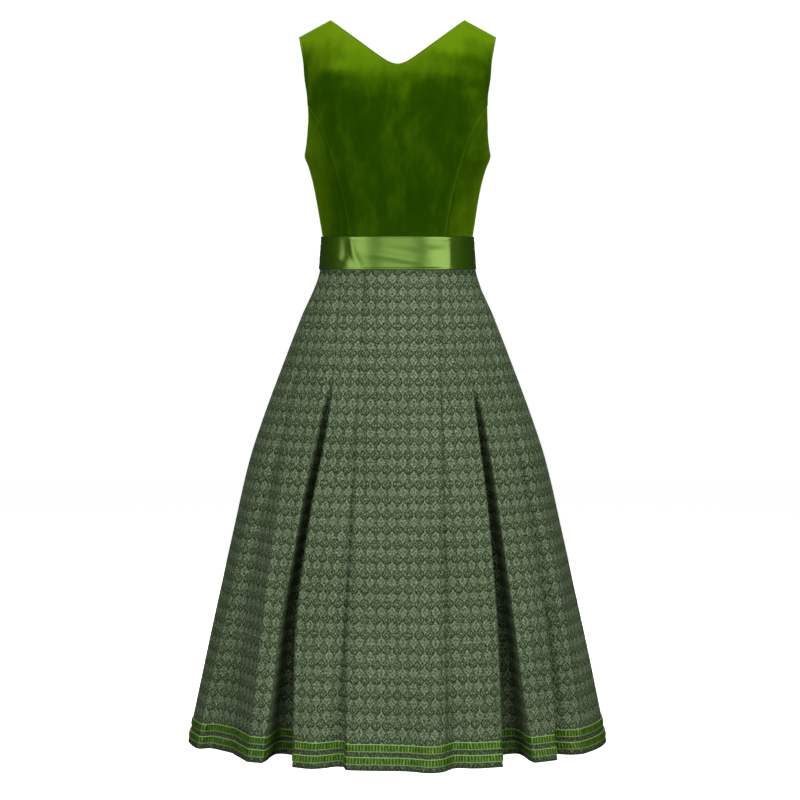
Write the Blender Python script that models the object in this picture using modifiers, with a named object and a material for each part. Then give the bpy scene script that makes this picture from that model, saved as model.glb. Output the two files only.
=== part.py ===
"""Sleeveless dirndl dress, standing in its worn shape with nobody in it.

Metres, +Z up.  The origin lies between the shoulder seams, where the wearer holds the dress.
The wearer faces +Y, so the back of the dress faces -Y, and +X is the wearer's right hand side.

A place on the bodice is given by its level: the height above the waist that it would have on the
centre line, before the shoulders slope down.  A place on the skirt is given by its height.
"""

import math
from collections import namedtuple

import bmesh
import bpy
import numpy as np

# ---------------------------------------------------------------- driving sizes
WAIST_Z = -0.366  # the waist reference, below the origin at the shoulder seams
WAIST_SEAM = -0.005  # heights are above the waist reference
SHOULDER = 0.380
SHOULDER_SLOPE = 0.538
NECK_HALF = 0.109
UNDERARM = 0.159
BACK_SEAM_TOP = 0.240
BACK_NECK = 0.3027  # the bottom of the V at the centre back
FRONT_NECK = 0.190
BACK_NECK_RISE = 0.79
FRONT_NECK_BEND = 0.80  # under 1 the front neckline bows outwards
NECK_ROUND = 0.013
HEM = -0.805
RIBBON_ZONE = -0.7645  # the skirt is straight from here down to the hem
SASH_TOP = 0.0274
SASH_BOTTOM = -0.0263

SEAM_GAP = 0.0003
WAIST_LOWER = 0.0008  # the skirt's folded top edge stays this much under the bodice
SEAM_STRIP = 0.010  # radians: a narrow facet beside each seam keeps the two cut edges parallel
VELVET = 0.0015
COTTON = 0.0012
SATIN = 0.0012
RIBBON = 0.0010
RIBBON_WIDTH = 0.0116
RIBBON_BOTTOMS = {"ribbon_lower": -0.7963, "ribbon_upper": -0.7765}
RIBBON_LIFT = 0.00045

# ---------------------------------------------------------------- forms, a row for each level
BODICE_COLUMNS = ("level", "half_width", "back", "front", "square_back", "square_front")
BODICE_ROWS = [
    (-0.0050, 0.1228, 0.0820, 0.0880, 2.00, 2.00),
    (0.0240, 0.1234, 0.0822, 0.0890, 2.00, 2.00),
    (0.0500, 0.1268, 0.0832, 0.0945, 2.10, 2.15),
    (0.0800, 0.1312, 0.0858, 0.1040, 2.25, 2.35),
    (0.1100, 0.1370, 0.0890, 0.1150, 2.35, 2.50),
    (0.1400, 0.1455, 0.0918, 0.1235, 2.45, 2.60),
    (0.1590, 0.1526, 0.0932, 0.1250, 2.50, 2.60),
    (0.1960, 0.1555, 0.0945, 0.1140, 2.50, 2.60),
    (0.2400, 0.1582, 0.0925, 0.0950, 2.50, 2.50),
    (0.2800, 0.1640, 0.0850, 0.0780, 2.45, 2.45),
    (0.3150, 0.1705, 0.0710, 0.0640, 2.40, 2.40),
    (0.3400, 0.1750, 0.0575, 0.0510, 2.40, 2.40),
    (0.3600, 0.1790, 0.0425, 0.0370, 2.40, 2.40),
    (0.3720, 0.1820, 0.0280, 0.0245, 2.40, 2.40),
    (0.3785, 0.1840, 0.0130, 0.0120, 2.40, 2.40),
    (0.37995, 0.1845, 0.0040, 0.0040, 2.40, 2.40),
    (0.3800, 0.1850, 0.0000, 0.0000, 2.40, 2.40),
]
ARMHOLE_COLUMNS = ("level", "half_width")
ARMHOLE_ROWS = [
    (0.1590, 0.1526),
    (0.1620, 0.1516),
    (0.1700, 0.1496),
    (0.1800, 0.1480),
    (0.1960, 0.1463),
    (0.2195, 0.1455),
    (0.2540, 0.1465),
    (0.2970, 0.1512),
    (0.3270, 0.1530),
    (0.3570, 0.1572),
    (0.3800, 0.1610),
]
BACK_SEAM_COLUMNS = ("level", "half_width")
BACK_SEAM_ROWS = [
    (-0.0050, 0.0772),
    (0.0210, 0.0786),
    (0.0490, 0.0812),
    (0.0810, 0.0868),
    (0.1050, 0.0918),
    (0.1330, 0.1000),
    (0.1590, 0.1075),
    (0.1860, 0.1175),
    (0.2090, 0.1270),
    (0.2300, 0.1385),
    (0.2400, 0.1460),
]
SKIRT_COLUMNS = ("height", "half_width", "back", "front")
SKIRT_ROWS = [
    (-0.0050, 0.1245, 0.0838, 0.0895),
    (-0.0310, 0.1282, 0.0880, 0.0928),
    (-0.1050, 0.1585, 0.1180, 0.1190),
    (-0.1900, 0.1915, 0.1510, 0.1490),
    (-0.2720, 0.2220, 0.1750, 0.1730),
    (-0.3430, 0.2450, 0.1910, 0.1910),
    (-0.4590, 0.2720, 0.2115, 0.2140),
    (-0.5840, 0.3000, 0.2290, 0.2330),
    (-0.6670, 0.3180, 0.2400, 0.2455),
    (-0.8050, 0.3465, 0.2570, 0.2620),
]
SASH_COLUMNS = ("height", "half_width", "back", "front")
SASH_ROWS = [
    (SASH_BOTTOM, 0.1304, 0.0904, 0.0952),
    (SASH_TOP, 0.1264, 0.0858, 0.0926),
]

# ---------------------------------------------------------------- bust shaping of the front
CUP_OUT = 0.009
CUP_PLACE = (0.080, 0.152)  # distance from the centre front, level
CUP_REACH = (0.042, 0.050)
BETWEEN_CUPS = 0.004
BETWEEN_REACH = (0.030, 0.055)

# ---------------------------------------------------------------- skirt folds
# Each fold is a knife pleat that faces the side seam.  Its edge lies at "edge" mm from the centre
# line, and its mouth opens from the hip down.  The tuck is the cloth under the closed pleat, in mm.
# Every tuple has one value for each fold height.
FOLD_HEIGHTS = (-0.005, -0.195, -0.265, -0.420, -0.620, -0.805)
CLOSED_LIP = 1.0  # mm between the two layers under a closed pleat
CLOSED_RISE = 14.0  # mm in which a closed pleat comes back up to the form
SLANT = 0.6  # the most of its mouth that a slanting lip takes up
HALF_OPEN = 5.0  # mm of mouth at which a pleat is half way between closed and open
Fold = namedtuple("Fold", "face side tuck undercut edge mouth depth roll")
FOLDS = [
    Fold("back", -1, 13, -4, (51, 60.5, 64, 71, 78.5, 81), (0, 0, 1, 3, 8, 20),
         (3.8, 4.2, 5, 10, 16, 23), (14, 22, 26, 30, 34, 34)),
    Fold("back", -1, 13, 5, (89, 102.5, 111, 140.5, 163.5, 166.5), (0, 0, 9, 11, 19, 38),
         (3.8, 5.0, 30, 60, 78, 89), (14, 22, 9, 8, 12, 17)),
    Fold("back", -1, 3, -30, (112, 161, 177, 196, 220, 239), (0, 2, 9, 35, 70, 100),
         (3.8, 5.0, 9, 20, 34, 45), (14, 24, 30, 40, 44, 46)),
    Fold("back", 1, 13, -12, (64, 69, 71, 73, 74, 73.5), (0, 0, 1, 3, 9, 26),
         (3.8, 4.2, 5, 8, 11, 14), (14, 22, 26, 30, 34, 36)),
    Fold("back", 1, 13, 5, (102, 119, 127, 146, 160.5, 166.5), (0, 0, 8, 13, 24, 38),
         (3.8, 5.0, 32, 62, 80, 90), (14, 22, 9, 9, 12, 20)),
    Fold("back", 1, 3, 0, (119, 162, 182, 212, 244, 255.5), (0, 1, 3, 6, 9, 11),
         (3.8, 5.0, 8, 20, 34, 42), (14, 24, 30, 40, 54, 66)),
    Fold("front", -1, 13, -6, (58, 66, 68, 74, 79, 83), (0, 0, 1, 3, 8, 20),
         (3.8, 4.2, 5, 9, 14, 20), (14, 22, 26, 30, 34, 36)),
    Fold("front", -1, 13, 5, (90, 109, 119, 143, 161, 170), (0, 0, 7, 11, 19, 35),
         (3.8, 5.0, 26, 54, 72, 82), (14, 22, 9, 9, 13, 19)),
    Fold("front", -1, 3, -8, (113, 160, 179, 205, 232, 250), (0, 1, 4, 14, 30, 46),
         (3.8, 5.0, 9, 20, 32, 40), (14, 24, 30, 40, 46, 52)),
    Fold("front", 1, 13, -8, (61, 68, 70, 75, 80, 85), (0, 0, 1, 3, 9, 24),
         (3.8, 4.2, 5, 9, 13, 18), (14, 22, 26, 30, 34, 36)),
    Fold("front", 1, 13, 5, (93, 113, 123, 147, 165, 174), (0, 0, 8, 12, 21, 37),
         (3.8, 5.0, 28, 57, 75, 85), (14, 22, 9, 9, 12, 18)),
    Fold("front", 1, 3, -16, (114, 161, 180, 204, 229, 246), (0, 1, 6, 22, 46, 68),
         (3.8, 5.0, 9, 20, 32, 41), (14, 24, 30, 40, 46, 50)),
]
# Panels that stand proud of the form towards the hem.
Swell = namedtuple("Swell", "face side centre width out starts")
SWELLS = [
    Swell("back", 1, 0.054, 0.026, 0.019, -0.50),
    Swell("back", -1, 0.140, 0.020, 0.006, -0.50),
    Swell("front", -1, 0.050, 0.030, 0.014, -0.50),
    Swell("front", 1, 0.135, 0.022, 0.006, -0.50),
]
PANEL_STEPS = (2, 2, 2, 3)  # facets across the centre panel, the two between folds, the side

# ---------------------------------------------------------------- facets
SKIRT_HEIGHTS = (-0.031, -0.105, -0.195, -0.230, -0.275, -0.400, -0.590)
SEAM_LEVELS = (-0.005, 0.024, 0.070, 0.120, 0.165, 0.205, 0.240)
STRAP_LEVELS = (0.3200, 0.3430, 0.3600, 0.3720, 0.3785, 0.37995, 0.3800)
BACK_LEVELS = SEAM_LEVELS + (0.270, BACK_NECK) + STRAP_LEVELS
FRONT_LEVELS = (-0.005, 0.024, 0.065, 0.105, 0.135, 0.159, 0.1615, 0.170, FRONT_NECK,
                0.215, 0.250, 0.285) + STRAP_LEVELS
BACK_ACROSS = (0.0, 0.25, 0.50, 0.75)
SIDE_ACROSS = (0.0, 0.04, 0.20, 0.42, 0.64, 0.84, 0.97, 1.0)
FRONT_ACROSS = (0.20, 0.40, 0.60, 0.80)
NECK_STRIP = 0.06  # the first share across a front beside its neckline
SASH_FACETS = 36
SASH_LAP = 0.030
SASH_LAP_LIFT = 0.0018
SASH_LIFT_TURNS = (2.75 * math.pi, 2.96 * math.pi)  # the lapped end rises between these

# ---------------------------------------------------------------- colours and finishes
FINISHES = {
    "velvet": {"colour": (0.045, 0.115, 0.004), "roughness": 0.85},
    "satin": {"colour": (0.180, 0.330, 0.045), "roughness": 0.28},
    "print": {"colour": (0.105, 0.145, 0.075), "roughness": 0.80},
    "ribbon": {"colour": (0.200, 0.330, 0.070), "roughness": 0.45},
}


# ---------------------------------------------------------------- curves
def curve_through(places, values):
    """A smooth curve through the rows of a table that never overshoots them."""
    xs, ys = np.asarray(places, float), np.asarray(values, float)
    steps = np.diff(xs)
    slopes = np.diff(ys) / steps
    tangents = np.concatenate(([slopes[0]], np.zeros(len(xs) - 2), [slopes[-1]]))
    for i in range(1, len(xs) - 1):
        if slopes[i - 1] * slopes[i] > 0:
            tangents[i] = 2 * slopes[i - 1] * slopes[i] / (slopes[i - 1] + slopes[i])

    def at(x):
        x = min(max(x, xs[0]), xs[-1])
        i = min(int(np.searchsorted(xs, x, side="right")) - 1, len(steps) - 1)
        t = (x - xs[i]) / steps[i]
        start = (1 + 2 * t) * (1 - t) ** 2 * ys[i] + t * (1 - t) ** 2 * steps[i] * tangents[i]
        end = t * t * (3 - 2 * t) * ys[i + 1] + t * t * (t - 1) * steps[i] * tangents[i + 1]
        return float(start + end)

    return at


def table(columns, rows):
    """One smooth curve for each named column after the first."""
    ordered = sorted(rows)
    places = [row[0] for row in ordered]
    return {
        name: curve_through(places, [row[i] for row in ordered])
        for i, name in enumerate(columns)
        if i
    }


def ease(x, start, end):
    """0 before start, 1 after end, smooth between."""
    t = min(max((x - start) / (end - start), 0.0), 1.0)
    return t * t * (3 - 2 * t)


BODICE = table(BODICE_COLUMNS, BODICE_ROWS)
ARMHOLE = table(ARMHOLE_COLUMNS, ARMHOLE_ROWS)
BACK_SEAM = table(BACK_SEAM_COLUMNS, BACK_SEAM_ROWS)
SKIRT = table(SKIRT_COLUMNS, SKIRT_ROWS)
SASH = table(SASH_COLUMNS, SASH_ROWS)
Y_SIGN = {"back": -1, "front": 1}


# ---------------------------------------------------------------- bodice form
def bell(x, level, place, reach):
    """A soft bump, 1 at its place."""
    return math.exp(-(((x - place[0]) / reach[0]) ** 2) - ((level - place[1]) / reach[1]) ** 2)


def bodice_point(face, angle, level):
    """A point on the bodice's outer face: angle 0 at the centre line, 90 degrees at the side."""
    half = BODICE["half_width"](level)
    square = BODICE["square_" + face](level)
    x = half * max(math.sin(angle), 0.0) ** (2 / square)
    round_off = max(math.cos(angle), 0.0) ** (2 / square)
    depth = BODICE[face](level)
    if face == "front":
        depth += CUP_OUT * bell(x, level, CUP_PLACE, CUP_REACH)
        depth -= BETWEEN_CUPS * bell(x, level, (0.0, CUP_PLACE[1]), BETWEEN_REACH)
    y = max(depth * round_off, SEAM_GAP / 2)
    fall = SHOULDER_SLOPE * max(0.0, x - NECK_HALF) * ease(level, 0.20, SHOULDER)
    return (x, Y_SIGN[face] * y, level - fall + WAIST_Z)


def angle_at(face, x, level):
    """The angle at which the bodice's form lies x from the centre line."""
    ratio = min(max(x / BODICE["half_width"](level), 0.0), 1.0)
    return math.asin(ratio ** (BODICE["square_" + face](level) / 2))


def side_angle(face, level):
    """The angle of a cut edge beside the side seam."""
    ratio = SEAM_GAP / 2 / BODICE[face](level)
    return math.acos(ratio ** (BODICE["square_" + face](level) / 2))


def back_neck_x(level):
    """Half width of the V at the back: straight sides and a small round bottom."""
    run = max(level - BACK_NECK, 0.0) / BACK_NECK_RISE + NECK_ROUND
    return math.sqrt(run * run - NECK_ROUND * NECK_ROUND)


def front_neck_x(level):
    """Half width of the deeper front neckline."""
    share = max(level - FRONT_NECK, 0.0) / (SHOULDER - FRONT_NECK)
    return max(back_neck_x(SHOULDER) * share**FRONT_NECK_BEND, SEAM_GAP / 2)


def across(start, end, shares, strip_at_start):
    """Angles from a cut edge to another, with a narrow strip beside a seam."""
    first = [start, start + SEAM_STRIP] if strip_at_start else [start]
    inner = [start + (end - start) * share for share in shares if share > 0]
    return first + inner + [end - SEAM_STRIP, end]


def bodice_back_half():
    """Rows of the right half of the centre back, from the waist up to the shoulder seam."""
    rows = []
    for level in BACK_LEVELS:
        if level <= BACK_SEAM_TOP:
            outer = BACK_SEAM["half_width"](level) - SEAM_GAP / 2
        else:
            outer = ARMHOLE["half_width"](level)
        start = angle_at("back", back_neck_x(level), level)
        end = angle_at("back", outer, level)
        row = across(start, end, BACK_ACROSS, False)
        rows.append([bodice_point("back", angle, level) for angle in row])
    return rows


def lower_armhole(shares):
    """Levels at equal steps along the armhole, from the back seam down to the underarm."""
    levels = np.linspace(BACK_SEAM_TOP, UNDERARM, 200)
    points = [
        bodice_point("back", angle_at("back", ARMHOLE["half_width"](v), v), v) for v in levels
    ]
    steps = np.linalg.norm(np.diff(np.array(points), axis=0), axis=1)
    length = np.concatenate(([0.0], np.cumsum(steps)))
    return [float(np.interp(share * length[-1], length, levels)) for share in shares]


def bodice_side_back_half():
    """Rows of the right side back, from its back seam to the side seam."""
    tops = lower_armhole(SIDE_ACROSS)
    rows = []
    for seam_level in SEAM_LEVELS:
        rise = (seam_level - SEAM_LEVELS[0]) / (BACK_SEAM_TOP - SEAM_LEVELS[0])
        row = []
        for share, top in zip(SIDE_ACROSS, tops):
            level = SEAM_LEVELS[0] + (top - SEAM_LEVELS[0]) * rise
            start = angle_at("back", BACK_SEAM["half_width"](level) + SEAM_GAP / 2, level)
            end = side_angle("back", level)
            top_start = angle_at("back", BACK_SEAM["half_width"](top) + SEAM_GAP / 2, top)
            top_here = angle_at("back", ARMHOLE["half_width"](top), top)
            top_share = (top_here - top_start) / (side_angle("back", top) - top_start)
            blend = share + (min(max(top_share, 0.0), 1.0) - share) * rise**2
            row.append(bodice_point("back", start + (end - start) * blend, level))
        rows.append(row)
    return rows


def bodice_front_half():
    """Rows of the right front, from the centre front to the side seam and the armhole."""
    rows = []
    for level in FRONT_LEVELS:
        start = angle_at("front", front_neck_x(level), level)
        if level <= UNDERARM:
            end = side_angle("front", level)
        else:
            end = angle_at("front", ARMHOLE["half_width"](level), level)
        row = across(start, end, FRONT_ACROSS, level < FRONT_NECK)
        if level >= FRONT_NECK:
            row.insert(1, start + (end - start) * NECK_STRIP)
        rows.append([bodice_point("front", angle, level) for angle in row])
    return rows


# ---------------------------------------------------------------- skirt form
def fold_value(values, height):
    """A fold's value at a height, in metres."""
    return curve_through(FOLD_HEIGHTS[::-1], values[::-1])(height) / 1000


def fold_stations(fold, height):
    """The folded cloth from a pleat's edge on: (distance along the form, depth), and closedness."""
    mouth, depth, roll = (fold_value(v, height) for v in (fold.mouth, fold.depth, fold.roll))
    closed = 1 / (1 + (mouth * 1000 / HALF_OPEN) ** 2)
    under, tuck = max(fold.undercut / 1000, -SLANT * mouth), fold.tuck / 1000
    layer = depth - CLOSED_LIP / 1000
    rise = CLOSED_RISE / 1000
    shut = [
        (0.0, 0.0), (0.0, layer), (-tuck, layer), (-tuck, depth),
        (0.001, depth), (0.5 * rise, 0.7 * depth), (0.8 * rise, 0.3 * depth), (rise, 0.0),
    ]
    wide = mouth + under
    open_up = [
        (0.0, 0.0), (-0.4 * under, 0.35 * depth), (-under, 0.80 * depth),
        (0.15 * wide - under, depth), (0.80 * wide - under, depth),
        (mouth + 0.2 * roll, 0.68 * depth), (mouth + 0.55 * roll, 0.32 * depth),
        (mouth + roll, 0.06 * depth),
    ]
    stations = [
        (a[0] * closed + b[0] * (1 - closed), a[1] * closed + b[1] * (1 - closed))
        for a, b in zip(shut, open_up)
    ]
    return stations, closed


def swell_out(face, side, x, height):
    """How far the panels stand proud of the form."""
    return sum(
        s.out * ease(-height, -s.starts, -HEM) * math.exp(-(((x - s.centre) / s.width) ** 2))
        for s in SWELLS
        if s.face == face and s.side == side
    )


def skirt_point(face, side, turn, inward, closed, height):
    """A point of a skirt section: a turn round the form, then inward from it."""
    half, deep = SKIRT["half_width"](height), SKIRT[face](height)
    x, y = half * math.sin(turn), deep * math.cos(turn)
    normal = (math.sin(turn) / half, math.cos(turn) / deep)
    size = math.hypot(*normal)
    way = (normal[0] / size * closed, normal[1] / size * closed + 1 - closed)
    size = math.hypot(*way)
    inward -= swell_out(face, side, x, height)
    x, y = x - inward * way[0] / size, y - inward * way[1] / size
    return (side * x, Y_SIGN[face] * y, height + WAIST_Z)


def skirt_quarter(face, side, height):
    """A skirt section from the centre line to the side seam, folds and all."""
    half, deep = SKIRT["half_width"](height), SKIRT[face](height)
    points, start, rest = [], 0.0, 0.0
    folds = [fold for fold in FOLDS if (fold.face, fold.side) == (face, side)]
    for number, fold in enumerate(folds):
        edge = math.asin(fold_value(fold.edge, height) / half)
        pace = math.hypot(half * math.cos(edge), deep * math.sin(edge))
        stations, closed = fold_stations(fold, height)
        steps = PANEL_STEPS[number]
        for step in range(0 if number == 0 else 1, steps):
            share = step / steps
            turn = start + (edge - start) * share
            points.append(skirt_point(face, side, turn, rest * (1 - share), closed, height))
        for along, inward in stations:
            turn = edge + along / pace
            points.append(skirt_point(face, side, turn, inward, closed, height))
        start, rest = edge + stations[-1][0] / pace, stations[-1][1]
    steps = PANEL_STEPS[-1]
    for step in range(1, steps):
        share = step / steps
        turn = start + (math.pi / 2 - start) * share
        points.append(skirt_point(face, side, turn, rest * (1 - share), 1.0, height))
    for gap in (SEAM_STRIP, SEAM_GAP / 2):
        turn = math.pi / 2 - gap / deep
        points.append(skirt_point(face, side, turn, 0.0, 1.0, height))
    return points


def skirt_section(face, height):
    """A whole section of the back or the front, in the order in which its faces point out."""
    left, right = skirt_quarter(face, -1, height), skirt_quarter(face, 1, height)
    row = left[:0:-1] + right
    return row if face == "back" else row[::-1]


def scaled(row, height):
    """The hem's section at another height of the straight part above it."""
    at_zone = SKIRT["half_width"](RIBBON_ZONE) / SKIRT["half_width"](HEM)
    size = 1 + (at_zone - 1) * (height - HEM) / (RIBBON_ZONE - HEM)
    return [(x * size, y * size, height + WAIST_Z) for x, y, _ in row]


def skirt_rows(face):
    """Rows of a skirt panel from the hem up to the waist seam."""
    hem = skirt_section(face, HEM)
    rows = [hem, scaled(hem, RIBBON_ZONE)]
    rows += [skirt_section(face, height) for height in SKIRT_HEIGHTS[::-1]]
    rows.append(skirt_section(face, WAIST_SEAM))
    rows[-1] = [(x, y, z - WAIST_LOWER) for x, y, z in rows[-1]]
    return rows


def ribbon_rows(bottom):
    """A ribbon's two rows, on the skirt's own points, with its ends at the left side seam."""
    back, front = skirt_section("back", HEM), skirt_section("front", HEM)
    ring = back[:-1] + front[1:]
    return [scaled(ring, height) for height in (bottom, bottom + RIBBON_WIDTH)]


# ---------------------------------------------------------------- sash
def sash_rows():
    """Two rows round the waist, the last end lapped over the first at the centre front."""
    rows = []
    for height in (SASH_BOTTOM, SASH_TOP):
        half = SASH["half_width"](height)
        lap = SASH_LAP / half
        row = []
        for step in range(SASH_FACETS + 1):
            turn = math.pi + (2 * math.pi + lap) * step / SASH_FACETS
            deep = SASH["back"](height) if math.cos(turn) > 0 else SASH["front"](height)
            lift = SASH_LAP_LIFT * ease(turn, *SASH_LIFT_TURNS)
            x = (half + lift) * math.sin(turn)
            y = -(deep + lift) * math.cos(turn)
            row.append((x, y, height + WAIST_Z))
        rows.append(row)
    return rows


# ---------------------------------------------------------------- cloth
def finish(name, slot):
    """The material of one piece."""
    look = FINISHES[slot]
    material = bpy.data.materials.new(name + "_" + slot)
    material.use_nodes = True
    shader = material.node_tree.nodes["Principled BSDF"]
    shader.inputs["Base Color"].default_value = (*look["colour"], 1.0)
    shader.inputs["Roughness"].default_value = look["roughness"]
    shader.inputs["Metallic"].default_value = 0.0
    return material


def mirrored(rows):
    """The same rows on the left, still in the order in which faces point out."""
    return [[(-x, y, z) for x, y, z in reversed(row)] for row in rows]


def cloth(name, grids, thickness, slot, collection, lift=0.0):
    """A cloth piece: an open surface through rows of points, then a wall with Solidify."""
    shape = bmesh.new()
    for rows in grids:
        laid = [[shape.verts.new(point) for point in row] for row in rows]
        for low, high in zip(laid, laid[1:]):
            for i in range(len(low) - 1):
                shape.faces.new((low[i], low[i + 1], high[i + 1], high[i]))
    bmesh.ops.remove_doubles(shape, verts=shape.verts, dist=0.00001)
    mesh = bpy.data.meshes.new(name)
    shape.to_mesh(mesh)
    shape.free()
    mesh.materials.append(finish(name, slot))
    piece = bpy.data.objects.new(name, mesh)
    collection.objects.link(piece)
    if lift:
        move = piece.modifiers.new("lift", "DISPLACE")
        move.strength = lift
        move.mid_level = 0.0
    wall = piece.modifiers.new("wall", "SOLIDIFY")
    wall.thickness = thickness
    wall.offset = 1.0 if lift else -1.0
    wall.use_rim = True
    mesh.shade_smooth()
    mesh.set_sharp_from_angle(angle=math.radians(50))
    return piece


def make_bodice(collection):
    """Centre back, two side backs and two fronts, of velvet."""
    back = bodice_back_half()
    side = bodice_side_back_half()
    front = [row[::-1] for row in bodice_front_half()]
    cloth("bodice_back", [mirrored(back), back], VELVET, "velvet", collection)
    for name, rows in (
        ("bodice_side_back_right", side),
        ("bodice_side_back_left", mirrored(side)),
        ("bodice_front_right", front),
        ("bodice_front_left", mirrored(front)),
    ):
        cloth(name, [rows], VELVET, "velvet", collection)


def make_skirt(collection):
    """Back and front skirt panels, and the two ribbons above the hem."""
    for face in ("back", "front"):
        cloth("skirt_" + face, [skirt_rows(face)], COTTON, "print", collection)
    for name, bottom in RIBBON_BOTTOMS.items():
        cloth(name, [ribbon_rows(bottom)], RIBBON, "ribbon", collection, lift=RIBBON_LIFT)


def make_sash(collection):
    """The satin sash round the waist."""
    cloth("sash", [sash_rows()], SATIN, "satin", collection)


def main():
    for old in list(bpy.data.objects):
        bpy.data.objects.remove(old, do_unlink=True)
    dress = bpy.data.collections.new("dirndl_dress")
    bpy.context.scene.collection.children.link(dress)
    make_bodice(dress)
    make_sash(dress)
    make_skirt(dress)


main()
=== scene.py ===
"""Looks of a sleeveless dirndl dress, filled out as if worn, with nobody in it.

A velvet bodice, a satin sash, a printed skirt laid in knife pleats and two ruched ribbons are
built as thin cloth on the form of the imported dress.  Metres, +Z up.  The wearer faces +Y, so
the back of the dress faces -Y, and +X is the wearer's right hand side.

A place on the bodice is given by its distance from the centre line and its level: the height
above the waist that it would have on the centre line, before the shoulders slope down.  A place
on the skirt or the sash is given by its distance from the centre line and its height.
"""

import math
from collections import namedtuple

import bmesh
import bpy
import numpy as np
from bpy.props import FloatProperty, FloatVectorProperty, PointerProperty
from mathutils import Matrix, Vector


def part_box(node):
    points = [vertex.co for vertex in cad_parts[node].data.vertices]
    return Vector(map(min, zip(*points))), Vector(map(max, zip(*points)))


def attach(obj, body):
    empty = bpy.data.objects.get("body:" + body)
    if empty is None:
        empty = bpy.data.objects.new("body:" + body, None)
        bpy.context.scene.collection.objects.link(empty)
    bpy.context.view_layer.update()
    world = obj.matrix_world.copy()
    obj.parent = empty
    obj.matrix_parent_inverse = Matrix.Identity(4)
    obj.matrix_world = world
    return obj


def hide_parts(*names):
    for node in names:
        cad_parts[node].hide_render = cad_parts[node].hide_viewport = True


bl_info = {
    "name": "Dirndl Dress",
    "version": (1, 0, 0),
    "blender": (4, 5, 0),
    "location": "3D View > Sidebar > Dress",
    "description": "Velvet, satin and printed cotton for a pleated dirndl dress",
    "category": "Object",
}

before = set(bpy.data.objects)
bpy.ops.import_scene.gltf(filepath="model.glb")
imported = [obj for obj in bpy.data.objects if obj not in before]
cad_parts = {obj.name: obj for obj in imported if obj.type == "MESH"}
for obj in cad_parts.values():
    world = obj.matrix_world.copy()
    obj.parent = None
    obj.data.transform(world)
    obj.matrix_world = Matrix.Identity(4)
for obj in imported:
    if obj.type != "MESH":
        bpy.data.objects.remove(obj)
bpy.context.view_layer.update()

# ---------------------------------------------------------------- heights, from the waist
WAIST_Z = -0.366  # the waist reference, below the origin at the shoulder seams
HEM = round(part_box("skirt_back")[0].z - WAIST_Z, 4)
SASH_BOTTOM = round(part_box("sash")[0].z - WAIST_Z, 4)
SASH_TOP = round(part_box("sash")[1].z - WAIST_Z, 4)

# ---------------------------------------------------------------- the form under the cloth
WAIST_SEAM = -0.005
SHOULDER = 0.380
SHOULDER_SLOPE = 0.538
SLOPE_FROM = 0.20
NECK_HALF = 0.109
UNDERARM = 0.159
BACK_SEAM_TOP = 0.240
BACK_NECK = 0.3027
FRONT_NECK = 0.190
FRONT_NECK_BEND = 0.80
BACK_NECK_RISE = 0.79
NECK_ROUND = 0.013
RIBBON_ZONE = -0.7645  # the skirt is straight from here down to the hem
SEAM_GAP = 0.00002  # the panels of the finished dress meet at their seams
SEAM_LAP = 0.0004  # the bodice's rims pass their seams by this before they are rounded
WAIST_LOWER = 0.0008  # the skirt's top edge hangs this much below the bodice's
SHOULDER_MARKS = (0.3150, 0.3400, 0.3600, 0.3720, 0.3785, 0.37995, SHOULDER)

BODICE_ROWS = [  # level, half_width, back, front, square_back, square_front
    (-0.0050, 0.1228, 0.0820, 0.0880, 2.00, 2.00),
    (0.0240, 0.1234, 0.0822, 0.0890, 2.00, 2.00),
    (0.0500, 0.1268, 0.0832, 0.0945, 2.10, 2.15),
    (0.0800, 0.1312, 0.0858, 0.1040, 2.25, 2.35),
    (0.1100, 0.1370, 0.0890, 0.1150, 2.35, 2.50),
    (0.1400, 0.1455, 0.0918, 0.1235, 2.45, 2.60),
    (0.1590, 0.1526, 0.0932, 0.1250, 2.50, 2.60),
    (0.1960, 0.1555, 0.0945, 0.1140, 2.50, 2.60),
    (0.2400, 0.1582, 0.0925, 0.0950, 2.50, 2.50),
    (0.2800, 0.1640, 0.0850, 0.0780, 2.45, 2.45),
    (0.3150, 0.1705, 0.0710, 0.0640, 2.40, 2.40),
    (0.3400, 0.1750, 0.0575, 0.0510, 2.40, 2.40),
    (0.3600, 0.1790, 0.0425, 0.0370, 2.40, 2.40),
    (0.3720, 0.1820, 0.0280, 0.0245, 2.40, 2.40),
    (0.3785, 0.1840, 0.0130, 0.0120, 2.40, 2.40),
    (0.37995, 0.1845, 0.0040, 0.0040, 2.40, 2.40),
    (0.3800, 0.1850, 0.0000, 0.0000, 2.40, 2.40),
]
ARMHOLE_ROWS = [  # level, half_width
    (0.1590, 0.1526),
    (0.1620, 0.1516),
    (0.1700, 0.1496),
    (0.1800, 0.1480),
    (0.1960, 0.1463),
    (0.2195, 0.1455),
    (0.2540, 0.1465),
    (0.2970, 0.1512),
    (0.3270, 0.1530),
    (0.3570, 0.1572),
    (0.3800, 0.1610),
]
BACK_SEAM_ROWS = [  # level, half_width
    (-0.0050, 0.0772),
    (0.0210, 0.0786),
    (0.0490, 0.0812),
    (0.0810, 0.0868),
    (0.1050, 0.0918),
    (0.1330, 0.1000),
    (0.1590, 0.1075),
    (0.1860, 0.1175),
    (0.2090, 0.1270),
    (0.2300, 0.1385),
    (0.2400, 0.1460),
]
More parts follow.
